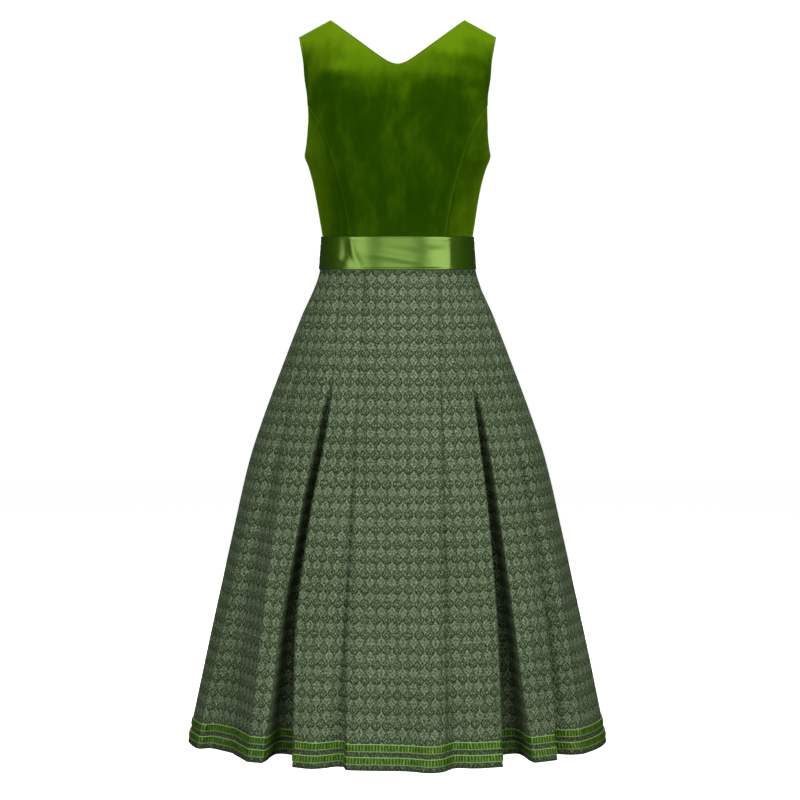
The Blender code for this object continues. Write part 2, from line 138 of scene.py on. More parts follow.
SKIRT_ROWS = [  # height, half_width, back, front
    (-0.0050, 0.1245, 0.0838, 0.0895),
    (-0.0310, 0.1282, 0.0880, 0.0928),
    (-0.1050, 0.1585, 0.1180, 0.1190),
    (-0.1900, 0.1915, 0.1510, 0.1490),
    (-0.2720, 0.2220, 0.1750, 0.1730),
    (-0.3430, 0.2450, 0.1910, 0.1910),
    (-0.4590, 0.2720, 0.2115, 0.2140),
    (-0.5840, 0.3000, 0.2290, 0.2330),
    (-0.6670, 0.3180, 0.2400, 0.2455),
    (-0.8050, 0.3465, 0.2570, 0.2620),
]
SASH_ROWS = [  # height, half_width, back, front
    (-0.0308, 0.1304, 0.0904, 0.0952),
    (0.0215, 0.1264, 0.0858, 0.0926),
]
CUP_OUT = 0.009  # how far the cut of the front stands out at its darts' tips
CUP_PLACE = (0.080, 0.152)
CUP_REACH = (0.042, 0.050)
BETWEEN_CUPS = 0.004  # how far it sinks in between them
BETWEEN_REACH = (0.030, 0.055)

# ---------------------------------------------------------------- pleats
# Each fold is a knife pleat that faces the side seam.  Its edge lies at "edge" mm from the centre
# line, and its mouth opens from the hip down.  The tuck is the cloth under the closed pleat.
# Every tuple has one value, in mm, for each fold height.
FOLD_HEIGHTS = (-0.005, -0.195, -0.265, -0.420, -0.620, -0.805)
CLOSED_LIP = 1.0  # mm between the two layers of a closed pleat's tuck
CLOSED_RISE = 14.0  # mm over which a closed pleat comes back out to the form
SLANT = 0.6  # how far an undercut may reach, as a share of the mouth
HALF_OPEN = 5.0  # a mouth this wide, in mm, counts as half open
Fold = namedtuple("Fold", "tuck undercut edge mouth depth roll")
FOLDS = {
    ("back", -1): [
        Fold(13, -4, (51, 60.5, 64, 71, 78.5, 81), (0, 0, 1, 3, 8, 20),
             (3.8, 4.2, 5, 10, 16, 23), (14, 22, 26, 30, 34, 34)),
        Fold(13, 5, (89, 102.5, 111, 140.5, 163.5, 166.5), (0, 0, 9, 11, 19, 38),
             (3.8, 5.0, 30, 60, 78, 89), (14, 22, 9, 8, 12, 17)),
        Fold(3, -30, (112, 161, 177, 196, 220, 239), (0, 2, 9, 35, 70, 100),
             (3.8, 5.0, 9, 20, 34, 45), (14, 24, 30, 40, 44, 46)),
    ],
    ("back", 1): [
        Fold(13, -12, (64, 69, 71, 73, 74, 73.5), (0, 0, 1, 3, 9, 26),
             (3.8, 4.2, 5, 8, 11, 14), (14, 22, 26, 30, 34, 36)),
        Fold(13, 5, (102, 119, 127, 146, 160.5, 166.5), (0, 0, 8, 13, 24, 38),
             (3.8, 5.0, 32, 62, 80, 90), (14, 22, 9, 9, 12, 20)),
        Fold(3, 0, (119, 162, 182, 212, 244, 255.5), (0, 1, 3, 6, 9, 11),
             (3.8, 5.0, 8, 20, 34, 42), (14, 24, 30, 40, 54, 66)),
    ],
    ("front", -1): [
        Fold(13, -6, (58, 66, 68, 74, 79, 83), (0, 0, 1, 3, 8, 20),
             (3.8, 4.2, 5, 9, 14, 20), (14, 22, 26, 30, 34, 36)),
        Fold(13, 5, (90, 109, 119, 143, 161, 170), (0, 0, 7, 11, 19, 35),
             (3.8, 5.0, 26, 54, 72, 82), (14, 22, 9, 9, 13, 19)),
        Fold(3, -8, (113, 160, 179, 205, 232, 250), (0, 1, 4, 14, 30, 46),
             (3.8, 5.0, 9, 20, 32, 40), (14, 24, 30, 40, 46, 52)),
    ],
    ("front", 1): [
        Fold(13, -8, (61, 68, 70, 75, 80, 85), (0, 0, 1, 3, 9, 24),
             (3.8, 4.2, 5, 9, 13, 18), (14, 22, 26, 30, 34, 36)),
        Fold(13, 5, (93, 113, 123, 147, 165, 174), (0, 0, 8, 12, 21, 37),
             (3.8, 5.0, 28, 57, 75, 85), (14, 22, 9, 9, 12, 18)),
        Fold(3, -16, (114, 161, 180, 204, 229, 246), (0, 1, 6, 22, 46, 68),
             (3.8, 5.0, 9, 20, 32, 41), (14, 24, 30, 40, 46, 50)),
    ],
}
# A swell is where a panel stands proud of the form, more and more towards the hem.
Swell = namedtuple("Swell", "face side centre width out starts")
SWELLS = [
    Swell("back", 1, 0.054, 0.026, 0.019, -0.50),
    Swell("back", -1, 0.140, 0.020, 0.006, -0.50),
    Swell("front", -1, 0.050, 0.030, 0.014, -0.50),
    Swell("front", 1, 0.135, 0.022, 0.006, -0.50),
]

# ---------------------------------------------------------------- creases, placed one by one
# A crease runs through its points, given as (distance from the centre line, level or height), and
# has a width and a height, all in mm.  A ridge has a height above 0 and a trough one below 0.
BODICE_CREASES = {
    "back": [
        ((-17, 20), (-16, 60), (-18, 105), 5.5, 1.6),
        ((-3, 20), (-3, 70), (-2, 125), 5.5, -2),
        ((11, 20), (10, 50), (9, 90), 5, 1.9),
        ((21, 20), (21, 45), (24, 80), 4.5, -1.3),
        ((-45, 22), (-49, 55), (-58, 80), 9, -0.8),
        ((52, 22), (56, 50), (66, 78), 9, -0.9),
        ((-142, 215), (-122, 238), (-98, 246), 12, -2.2),
        ((142, 262), (124, 268), (105, 262), 10, -1.4),
        ((146, 215), (132, 206), (112, 200), 11, 1.5),
        ((-128, 300), (-98, 292), (-70, 296), 12, 1.2),
        ((60, 330), (94, 318), (135, 322), 13, 1.2),
        ((-95, 100), (-85, 135), (-78, 180), 16, 1),
        ((-124, 60), (-129, 100), (-136, 140), 9, 1.4),
        ((116, 40), (119, 90), (128, 140), 11, 1),
        ((148, 150), (130, 148), (116, 140), 8, 1.2),
        ((-50, 215), (0, 205), (55, 218), 26, -1),
    ],
    "front": [
        ((72, 20), (76, 60), (79, 104), 2.2, -1.1),
        ((-72, 20), (-76, 60), (-79, 104), 2.2, -1.1),
        ((20, 20), (22, 55), (28, 82), 6, -1.3),
        ((-24, 20), (-24, 48), (-31, 72), 6, -1.2),
        ((45, 20), (47, 50), (50, 70), 6, 1),
        ((-47, 20), (-50, 55), (-52, 78), 6, 1.1),
        ((148, 150), (128, 163), (104, 170), 8, -1.4),
        ((-149, 148), (-131, 158), (-108, 163), 8, -1.3),
        ((146, 215), (132, 228), (112, 238), 10, -1.2),
        ((-146, 222), (-130, 232), (-110, 240), 10, -1.3),
    ],
}
SASH_CREASES = {
    "back": [
        ((-52, -2), (-20, -3), (20, -10), (66, -20), 6, -0.9),
        ((-30, 6), (20, -1), (70, -8), 7.5, 0.6),
        ((-76, 30), (-71, 0), (-60, -22), 4.5, 1.3),
        ((-88, 30), (-86, -4), (-96, -18), 6, -0.9),
        ((-120, 6), (-100, -4), (-78, -18), 5, 1.2),
        ((40, 8), (58, 4), (78, 5), 6, 0.7),
    ],
    "front": [
        ((90, 16), (40, 4), (4, -6), 5, -1),
        ((-85, -14), (-50, -4), (-10, 2), 5, -1.1),
        ((-95, 12), (-62, 6), (-30, 10), 5.5, 1),
        ((100, -16), (70, -12), (40, -18), 5, 1),
    ],
}
SASH_FOLD = [((83, 30), (84, 0), (84, -40), 10, 1.6)]  # its crest is crisp
SKIRT_CREASES = {
    "back": [
        ((-20, -500), (-24, -640), (-30, -805), 30, -6),
        ((20, -560), (16, -690), (12, -805), 22, 3),
        ((-60, -560), (-62, -680), (-64, -805), 14, 3),
        ((-132, -480), (-140, -560), (-147, -640), 10, -3),
        ((-118, -620), (-122, -710), (-124, -805), 13, 3),
        ((118, -300), (126, -450), (130, -600), 12, -1.6),
        ((112, -620), (118, -720), (122, -805), 13, -3),
        ((-132, -100), (-140, -180), (-152, -260), 8, -1.6),
        ((142, -100), (152, -190), (166, -290), 9, -1.8),
        ((-205, -420), (-216, -600), (-214, -805), 16, 4),
        ((200, -420), (212, -600), (218, -805), 16, 4),
        ((-250, -330), (-276, -500), (-292, -700), 15, -4),
        ((255, -340), (283, -520), (300, -740), 15, -4),
    ],
    "front": [
        ((22, -480), (26, -640), (30, -805), 28, -5.5),
        ((-20, -540), (-16, -690), (-14, -805), 22, 3),
        ((128, -460), (136, -560), (142, -650), 10, -2.8),
        ((-116, -600), (-122, -710), (-126, -805), 13, 3),
        ((138, -100), (148, -180), (160, -270), 8.5, -1.6),
        ((-138, -110), (-148, -200), (-162, -300), 8.5, -1.8),
        ((248, -350), (272, -520), (288, -720), 15, -4),
        ((-252, -330), (-280, -500), (-300, -720), 15, -4),
        ((198, -400), (210, -600), (214, -805), 16, 4),
        ((-200, -420), (-214, -610), (-216, -805), 16, 4),
    ],
}

# ---------------------------------------------------------------- print and weave
HEM_SHADE_TOP = -0.7655  # the hem is turned double from here down, and the print is painted darker below here: painted shade
# the dark green of the painted shade over the hem band
HEM_SHADE = (0.010, 0.022, 0.004, 1.0)
DIAMONDS = 1.5  # nested diamonds from a medallion to half way to a flower
STEM_FROM = 3.6  # mm above and below the middle of a flower
PANEL_COLUMN = 0.002  # columns of a panel are further apart than this at the hem
PANEL_SHIFT = 0.37  # share of a repeat that the print moves from one panel to the next
COTTON_THREAD = 0.0007
SATIN_THREAD = 0.0006
THREADS_IN_GATHER = 9

# ---------------------------------------------------------------- stage
SoftBox = namedtuple("SoftBox", "location size radiance lights_matt lights_gloss")
LIGHTS = {
    "left_box": SoftBox((-2.55, -4.00, -0.5), (2.6, 2.6), 4.1, True, False),
    "right_box": SoftBox((2.65, -3.95, -0.5), (2.6, 2.6), 5.1, True, False),
    "left_card": SoftBox((-3.35, -3.35, -0.3), (2.6, 2.6), 5.4, False, True),
    "right_card": SoftBox((3.42, -3.30, -0.3), (2.7, 2.6), 6.2, False, True),
    "back_card": SoftBox((0.0, -5.2, 0.0), (3.6, 2.4), 4.0, False, True),
    "back_fill": SoftBox((0.0, -5.2, -0.4), (2.6, 2.0), 1.4, True, False),
    "top_box": SoftBox((0.2, -0.9, 2.2), (1.8, 1.2), 6.5, True, False),
    "front_box": SoftBox((0.0, 4.4, 0.4), (3.0, 2.6), 7.0, True, True),
}
CAMERA_X = 0.004
CAMERA_PITCH = 3.455  # degrees below level
ROOM_FLOOR = 7.5
ROOM_CURVE = 2.0
ROOM_WALL = 5.0
ROOM_SIDES = 96
ROOM_CURVE_STEPS = 12

# ---------------------------------------------------------------- how fine the cloth is
PANEL_STEPS = (12, 11, 12, 16)  # columns of the skirt's panels, from the centre line out
FOLD_STEPS = 5
SKIRT_ROW_COUNT = 121
BODICE_PACE = 0.0065  # most that two of its rows may be apart
BODICE_COLUMN_COUNT = 48
SASH_COLUMN_COUNT = 220
SASH_ROW_COUNT = 17
EDGE_CROWDING = 0.55  # share of the columns' spacing that gathers towards the edges
RIBBON_ROW_COUNT = 9
STEPS_PER_GATHER = 6
SIDE_BACK_ROW_COUNT = 44
ARMHOLE_SAMPLES = 200
CREASE_STEPS = 8
SEAM_COLUMNS = (0.0030, 0.0015, 0.0006, 0.0)  # columns of the skirt beside its side seams
Y_SIGN = {"back": -1, "front": 1}

# ---------------------------------------------------------------- sewing
# A roll is how far from a seam the cloth starts to turn in, and how deep it goes.
SEAM_ROLL = (0.0050, 0.0007)
CLOSING_ROLL = (0.0040, 0.0006)
SKIRT_ROLL = (0.0030, 0.0006)
TURNED_EDGE = ((0.00035, 0.0012, 0.0011), (-0.00030, 0.0040, 0.0012))  # height, place, reach
SEAM_TIP = 0.030  # the back seam's roll dies away over this, below its top
CREASES_FROM = (0.014, 0.034)  # levels between which the bodice's creases set in
CREASES_TO = 0.365
CREASE_END = 0.12  # a crease fades towards its ends like a sine wave cut off by this share
WAVES = 6
WAVE_PACE = (34.0, 13.0)  # radians in a metre, across and up
SASH_LAP = 0.030
SASH_LAP_LIFT = 0.0018
SASH_LAP_TURN = (2.75, 2.96)  # where the lap rises, in half turns from the centre back
SASH_PROUD = 0.0003
RIBBON_PROUD = 0.0003
CORD_HEIGHT = 0.0007
CORD_PLACE = 0.07  # share of the ribbon's width from its edge to its gathering thread

# Width and length of each piece as cut, and its area where it isn't a rectangle
FLAT_SIZES = {
    "bodice_back": ((0.33, 0.40), 0.0900),
    "bodice_side_back_right": ((0.10, 0.25), 0.0174),
    "bodice_side_back_left": ((0.10, 0.25), 0.0174),
    "bodice_front_right": ((0.235, 0.43), 0.0595),
    "bodice_front_left": ((0.235, 0.43), 0.0595),
    "sash": ((0.054, 0.722), None),
    "skirt_back": ((1.31, 0.83), 0.765),
    "skirt_front": ((1.27, 0.83), 0.750),
    "ribbon_lower": ((0.0125, 3.50), None),
    "ribbon_upper": ((0.0125, 3.50), None),
}


# ---------------------------------------------------------------- curves
def hermite(t, start, end, leave, arrive):
    """A cubic from start to end, with the slopes with which it leaves and arrives."""
    first = (1 + 2 * t) * (1 - t) ** 2 * start + t * (1 - t) ** 2 * leave
    return first + t * t * (3 - 2 * t) * end + t * t * (t - 1) * arrive


def curve_through(places, values):
    """A smooth curve through the rows of a table that never overshoots them."""
    xs, ys = np.asarray(places, float), np.asarray(values, float)
    steps = np.diff(xs)
    slopes = np.diff(ys) / steps
    tangents = np.concatenate(([slopes[0]], np.zeros(len(xs) - 2), [slopes[-1]]))
    for i in range(1, len(xs) - 1):
        if slopes[i - 1] * slopes[i] > 0:
            tangents[i] = 2 * slopes[i - 1] * slopes[i] / (slopes[i - 1] + slopes[i])

    def at(x):
        x = np.clip(x, xs[0], xs[-1])
        i = np.clip(np.searchsorted(xs, x, side="right") - 1, 0, len(steps) - 1)
        t = (x - xs[i]) / steps[i]
        return hermite(t, ys[i], ys[i + 1], steps[i] * tangents[i], steps[i] * tangents[i + 1])

    return at


def table(names, rows):
    """One smooth curve for each column after the first, by its name."""
    places, *columns = zip(*sorted(rows))
    return {name: curve_through(places, column) for name, column in zip(names.split(), columns)}


def ease(x, start, end):
    """0 before start, 1 after end, smooth between."""
    t = np.clip((x - start) / (end - start), 0.0, 1.0)
    return t * t * (3 - 2 * t)


def rounded_path(points, t):
    """A smooth path through points, at places t counted in points."""
    p = np.asarray(points, float)
    tangents = np.vstack((p[1] - p[0], (p[2:] - p[:-2]) / 2, p[-1] - p[-2]))
    i = np.minimum(t.astype(int), len(p) - 2)
    s = (t - i)[:, None]
    return hermite(s, p[i], p[i + 1], tangents[i], tangents[i + 1])


def straight_path(points, t):
    """The straight path through points, at places t counted in points."""
    p = np.asarray(points, float)
    i = np.minimum(t.astype(int), len(p) - 2)
    s = (t - i)[:, None]
    return p[i] * (1 - s) + p[i + 1] * s


def crowded(count):
    """Shares from 0 to 1 that lie closer together towards both ends."""
    even = np.linspace(0.0, 1.0, count)
    return (1 - EDGE_CROWDING) * even + EDGE_CROWDING * (1 - np.cos(math.pi * even)) / 2


BODICE = table("half_width back front square_back square_front", BODICE_ROWS)
ARMHOLE = table("half_width", ARMHOLE_ROWS)
BACK_SEAM = table("half_width", BACK_SEAM_ROWS)
SKIRT = table("half_width back front", SKIRT_ROWS)
SASH = table("half_width back front", SASH_ROWS)


# ---------------------------------------------------------------- bodice form
def bell(x, level, place, reach):
    """A soft bump, 1 at its place."""
    return np.exp(-(((x - place[0]) / reach[0]) ** 2) - ((level - place[1]) / reach[1]) ** 2)


def bodice_points(face, angle, level):
    """Points on the bodice's outer face: angle 0 at the centre line, 90 degrees at the side."""
    half, square = BODICE["half_width"](level), BODICE["square_" + face](level)
    x = half * np.maximum(np.sin(angle), 0.0) ** (2 / square)
    round_off = np.maximum(np.cos(angle), 0.0) ** (2 / square)
    depth = BODICE[face](level)
    if face == "front":
        depth = depth + CUP_OUT * bell(x, level, CUP_PLACE, CUP_REACH)
        depth = depth - BETWEEN_CUPS * bell(x, level, (0.0, CUP_PLACE[1]), BETWEEN_REACH)
    y = np.maximum(depth * round_off, SEAM_GAP / 2)
    fall = SHOULDER_SLOPE * np.maximum(0.0, x - NECK_HALF) * ease(level, SLOPE_FROM, SHOULDER)
    return np.stack((x, Y_SIGN[face] * y, level - fall + WAIST_Z), axis=-1)


def angle_at(face, x, level):
    """The angle at which the bodice's form lies x from the centre line."""
    ratio = np.clip(x / BODICE["half_width"](level), 0.0, 1.0)
    return np.arcsin(ratio ** (BODICE["square_" + face](level) / 2))


def side_angle(face, level):
    """The angle of a cut edge beside the side seam."""
    ratio = SEAM_GAP / 2 / np.maximum(BODICE[face](level), SEAM_GAP)
    return np.arccos(ratio ** (BODICE["square_" + face](level) / 2))


def back_neck_x(level):
    """Half width of the V at the back: straight sides and a small round bottom."""
    run = np.maximum(level - BACK_NECK, 0.0) / BACK_NECK_RISE + NECK_ROUND
    return np.sqrt(run * run - NECK_ROUND * NECK_ROUND)


def front_neck_x(level):
    """Half width of the deeper front neckline."""
    share = np.maximum(level - FRONT_NECK, 0.0) / (SHOULDER - FRONT_NECK)
    return np.maximum(back_neck_x(SHOULDER) * share**FRONT_NECK_BEND, SEAM_GAP / 2)


def bodice_levels(face, marks):
    """Levels through the marks, close enough together for the form to stay smooth."""
    levels = [marks[0]]
    for low, high in zip(marks, marks[1:]):
        reach = math.hypot(high - low, BODICE[face](high) - BODICE[face](low))
        count = max(2, math.ceil(reach / BODICE_PACE))
        levels += list(np.linspace(low, high, count + 1)[1:])
    return np.array(levels)


def bodice_grid(face, start, end, level):
    """Points and places (x, level) between a start and an end angle on each level."""
    shares = crowded(BODICE_COLUMN_COUNT)[None, :]
    angle = start[:, None] + (end - start)[:, None] * shares
    levels = np.broadcast_to(level[:, None], angle.shape)
    points = bodice_points(face, angle, levels)
    return points, np.stack((points[..., 0], levels), axis=-1)


def back_half():
    """The right half of the centre back."""
    level = bodice_levels("back", (WAIST_SEAM, 0.120, BACK_SEAM_TOP - 0.003, BACK_SEAM_TOP,
                                   BACK_SEAM_TOP + 0.003, BACK_NECK, *SHOULDER_MARKS))
    seam = BACK_SEAM["half_width"](level) - SEAM_GAP / 2
    outer = np.where(level <= BACK_SEAM_TOP, seam, ARMHOLE["half_width"](level))
    start = angle_at("back", back_neck_x(level), level)
    return bodice_grid("back", start, angle_at("back", outer, level), level)


def side_back_half():
    """The right side back, from its back seam to the side seam and up to the armhole."""
    shares = crowded(BODICE_COLUMN_COUNT)
    levels = np.linspace(BACK_SEAM_TOP, UNDERARM, ARMHOLE_SAMPLES)
    edge = bodice_points("back", angle_at("back", ARMHOLE["half_width"](levels), levels), levels)
    length = np.concatenate(([0.0], np.cumsum(np.linalg.norm(np.diff(edge, axis=0), axis=1))))
    tops = np.interp(shares * length[-1], length, levels)
    rise = np.linspace(0.0, 1.0, SIDE_BACK_ROW_COUNT)[:, None]
    level = WAIST_SEAM + (tops[None, :] - WAIST_SEAM) * rise

    def between(at):
        seam = angle_at("back", BACK_SEAM["half_width"](at) + SEAM_GAP / 2, at)
        return seam, side_angle("back", at)

    first, last = between(tops)
    there = (angle_at("back", ARMHOLE["half_width"](tops), tops) - first) / (last - first)
    blend = shares[None, :] + (np.clip(there, 0.0, 1.0) - shares)[None, :] * rise**2
    start, end = between(level)
    points = bodice_points("back", start + (end - start) * blend, level)
    return points, np.stack((points[..., 0], level), axis=-1)


def front_half():
    """The right front, from the centre front to the side seam and the armhole."""
    level = bodice_levels("front", (WAIST_SEAM, 0.105, UNDERARM, 0.1615, 0.170, FRONT_NECK,
                                    0.193, 0.200, 0.215, 0.250, *SHOULDER_MARKS))
    armhole = angle_at("front", ARMHOLE["half_width"](level), level)
    end = np.where(level <= UNDERARM, side_angle("front", level), armhole)
    return bodice_grid("front", angle_at("front", front_neck_x(level), level), end, level)


# ---------------------------------------------------------------- skirt form
def fold_value(values, height):
    """A fold's value at a height, in metres."""
    return float(curve_through(FOLD_HEIGHTS[::-1], values[::-1])(height)) / 1000


def fold_course(fold, height):
    """The folded cloth from a pleat's edge on: (distance along the form, depth), closedness."""
    mouth, depth, roll = (fold_value(v, height) for v in (fold.mouth, fold.depth, fold.roll))
    closed = 1 / (1 + (mouth * 1000 / HALF_OPEN) ** 2)
    under, tuck = max(fold.undercut / 1000, -SLANT * mouth), fold.tuck / 1000
    layer = depth - CLOSED_LIP / 1000
    rise = CLOSED_RISE / 1000
    shut = [
        (0.0, 0.0), (0.0, layer), (-tuck, layer), (-tuck, depth),
        (0.001, depth), (0.5 * rise, 0.7 * depth), (0.8 * rise, 0.3 * depth), (rise, 0.0),
    ]
    wide = mouth + under
    open_up = [
        (0.0, 0.0), (-0.4 * under, 0.35 * depth), (-under, 0.80 * depth),
        (0.15 * wide - under, depth), (0.80 * wide - under, depth),
        (mouth + 0.2 * roll, 0.68 * depth), (mouth + 0.55 * roll, 0.32 * depth),
        (mouth + roll, 0.06 * depth),
    ]
    t = np.linspace(0.0, len(shut) - 1.0, (len(shut) - 1) * FOLD_STEPS + 1)
    course = straight_path(shut, t) * closed + rounded_path(open_up, t) * (1 - closed)
    return course, closed


def swell_out(face, side, x, height):
    """How far the panels stand proud of the form."""
    return sum(
        s.out * ease(-height, -s.starts, -HEM) * np.exp(-(((x - s.centre) / s.width) ** 2))
        for s in SWELLS
        if s.face == face and s.side == side
    )


def skirt_points(face, side, turn, inward, closed, height):
    """Points of a skirt section: turns round the form, then inward from it."""
    half, deep = float(SKIRT["half_width"](height)), float(SKIRT[face](height))
    x, y = half * np.sin(turn), deep * np.cos(turn)
    normal = np.stack((np.sin(turn) / half, np.cos(turn) / deep))
    normal /= np.hypot(*normal)
    way = np.stack((normal[0] * closed, normal[1] * closed + 1 - closed))
    way /= np.hypot(*way)
    inward = inward - swell_out(face, side, x, height)
    x, y = x - inward * way[0], y - inward * way[1]
    return np.stack((side * x, Y_SIGN[face] * y, np.full(len(x), height + WAIST_Z)), axis=1)


def skirt_quarter(face, side, height):
    """A skirt section from the centre line to the side seam: points, panels and openness.

    The panel number of a point changes under each fold, where the cloth can't be seen, and the
    openness is 1 on a panel and 0 inside a fold."""
    half, deep = float(SKIRT["half_width"](height)), float(SKIRT[face](height))
    points, panels, shown = [], [], []
    start, rest = 0.0, 0.0

    def add(turn, inward, closed, panel, openness):
        points.append(skirt_points(face, side, turn, inward, closed, height))
        panels.append(np.broadcast_to(panel, len(turn)))
        shown.append(np.broadcast_to(openness, len(turn)))

    folds = FOLDS[face, side]
    for number, fold in enumerate(folds):
        edge = math.asin(fold_value(fold.edge, height) / half)
        pace = math.hypot(half * math.cos(edge), deep * math.sin(edge))
        course, closed = fold_course(fold, height)
        share = np.linspace(0.0, 1.0, PANEL_STEPS[number] + 1)[0 if number == 0 else 1:-1]
        add(start + (edge - start) * share, rest * (1 - share), closed, number, 1.0)
        place = np.arange(len(course))
        after = place > 4 * FOLD_STEPS
        add(edge + course[:, 0] / pace, course[:, 1], closed, number + after, 0.0 + (place == 0))
        start, rest = edge + course[-1, 0] / pace, course[-1, 1]
    share = np.linspace(0.0, 1.0, PANEL_STEPS[-1] + 1)[1:-1]
    last = math.pi / 2 - SEAM_GAP / 2 / deep
    add(start + (last - start) * share, rest * (1 - share), 1.0, len(folds), 1.0)
    for gap in SEAM_COLUMNS:
        add(np.array([last - gap / deep]), np.array([0.0]), 1.0, len(folds), 1.0)
    return np.concatenate(points), np.concatenate(panels), np.concatenate(shown)


def skirt_section(face, height):
    """A whole section, in the order in which its faces point out."""
    left, right = skirt_quarter(face, -1, height), skirt_quarter(face, 1, height)
    joined = [np.concatenate((a[:0:-1], b)) for a, b in zip(left, right)]
    sides = np.concatenate((np.full(len(left[0]) - 1, -1), np.full(len(right[0]), 1)))
    joined[1] = joined[1] * sides  # panels left of the centre have numbers below 0
    return joined if face == "back" else [part[::-1] for part in joined]


def skirt_grid(face):
    """The skirt's rows from the hem up, with panels, openness and places (x, height)."""
    heights = np.linspace(HEM, WAIST_SEAM, SKIRT_ROW_COUNT)
    hem, panels, shown = skirt_section(face, HEM)
    narrower = float(SKIRT["half_width"](RIBBON_ZONE) / SKIRT["half_width"](HEM)) - 1
    rows = []
    for height in heights:
        if height <= RIBBON_ZONE:
            row = hem * (1 + narrower * (height - HEM) / (RIBBON_ZONE - HEM))
            row[:, 2] = height + WAIST_Z
        else:
            row = skirt_section(face, height)[0]
        rows.append(row)
    points = np.array(rows)
    points[-1, :, 2] -= WAIST_LOWER
    points[:, 1:-1] = (points[:, :-2] + 2 * points[:, 1:-1] + points[:, 2:]) / 4
    places = np.stack((points[..., 0], points[..., 2] - WAIST_Z), axis=-1)
    return points, places, panels, shown


# ---------------------------------------------------------------- creases
def normals_of(points):
    """Unit normals of a grid of points whose rows run so that its faces point out."""
    along = np.gradient(points, axis=1)
    up = np.gradient(points, axis=0)
    normal = np.cross(along, up)
    return normal / np.maximum(np.linalg.norm(normal, axis=-1, keepdims=True), 1e-12)


def crease_height(creases, places, sharp=False):
    """The sum of the creases at each place.  A sharp one has a crisp crest."""
    total = np.zeros(places.shape[:-1])
    for *path, width, height in creases:
        last = len(path) - 1
        stops = np.linspace(0.0, float(last), CREASE_STEPS * last + 1)
        fine = rounded_path(np.array(path) / 1000, stops)
        nearest = np.full(total.shape, np.inf)
        share = np.zeros(total.shape)
        for i, (a, b) in enumerate(zip(fine, fine[1:])):
            along = np.clip(((places - a) @ (b - a)) / ((b - a) @ (b - a)), 0.0, 1.0)
            apart = np.linalg.norm(places - a - along[..., None] * (b - a), axis=-1)
            share = np.where(apart < nearest, (i + along) / (len(fine) - 1), share)
            nearest = np.minimum(nearest, apart)
        fade = np.sin(math.pi * (CREASE_END + (1 - 2 * CREASE_END) * share))
        reach = nearest / width * 1000
        total += height / 1000 * fade * np.exp(-reach if sharp else -(reach**2))
    return total


def unevenness(places, size, seed):
    """Slow waves that keep hand sewn cloth from looking pressed from a mould."""
    rng = np.random.default_rng(seed)
    total = np.zeros(places.shape[:-1])
    for _ in range(WAVES):
        way = rng.normal(size=2) * WAVE_PACE
        total += np.sin(places @ way + rng.uniform(0.0, 2 * math.pi))
    return size * total / WAVES


def edge_distance(points, axis, at_end):
    """Distance of each point from the first or last column or row of its grid."""
    steps = np.linalg.norm(np.diff(points, axis=axis), axis=-1)
    length = np.insert(np.cumsum(steps, axis=axis), 0, 0.0, axis=axis)
    return length.max(axis=axis, keepdims=True) - length if at_end else length


def roll_in(distance, reach, drop):
    """How far cloth turns inward beside an edge."""
    return -drop * np.clip(1 - distance / reach, 0.0, 1.0) ** 2


def turned_edge(distance):
    """A folded edge: a small ridge, then the groove of its stitching."""
    return sum(
        height * np.exp(-(((distance - place) / reach) ** 2))
        for height, place, reach in TURNED_EDGE
    )


# ---------------------------------------------------------------- cloth from grids
Sheet = namedtuple("Sheet", "points along up strips", defaults=(None,))
Cloth = namedtuple("Cloth", "look slot thickness material held rests_on outward smooth",
                   defaults=(False, 0))


def mirrored(sheet):
    """The same sheet on the left, still in the order in which its faces point out."""
    points = sheet.points[:, ::-1] * (-1.0, 1.0, 1.0)
    return Sheet(points, -sheet.along[:, ::-1], sheet.up[:, ::-1])


def measured(points, shape=None):
    """A sheet whose flat coordinates are its own lengths along the rows and up the columns."""
    base = points if shape is None else shape
    along = edge_distance(base, 1, False)
    up = edge_distance(base, 0, False)
    return Sheet(points, along, np.broadcast_to(up.mean(axis=1, keepdims=True), up.shape))


def turned(sheet):
    """The same sheet with its rows reversed, so that the faces of a front point out."""
    return Sheet(sheet.points[:, ::-1], sheet.along[:, ::-1], sheet.up[:, ::-1])


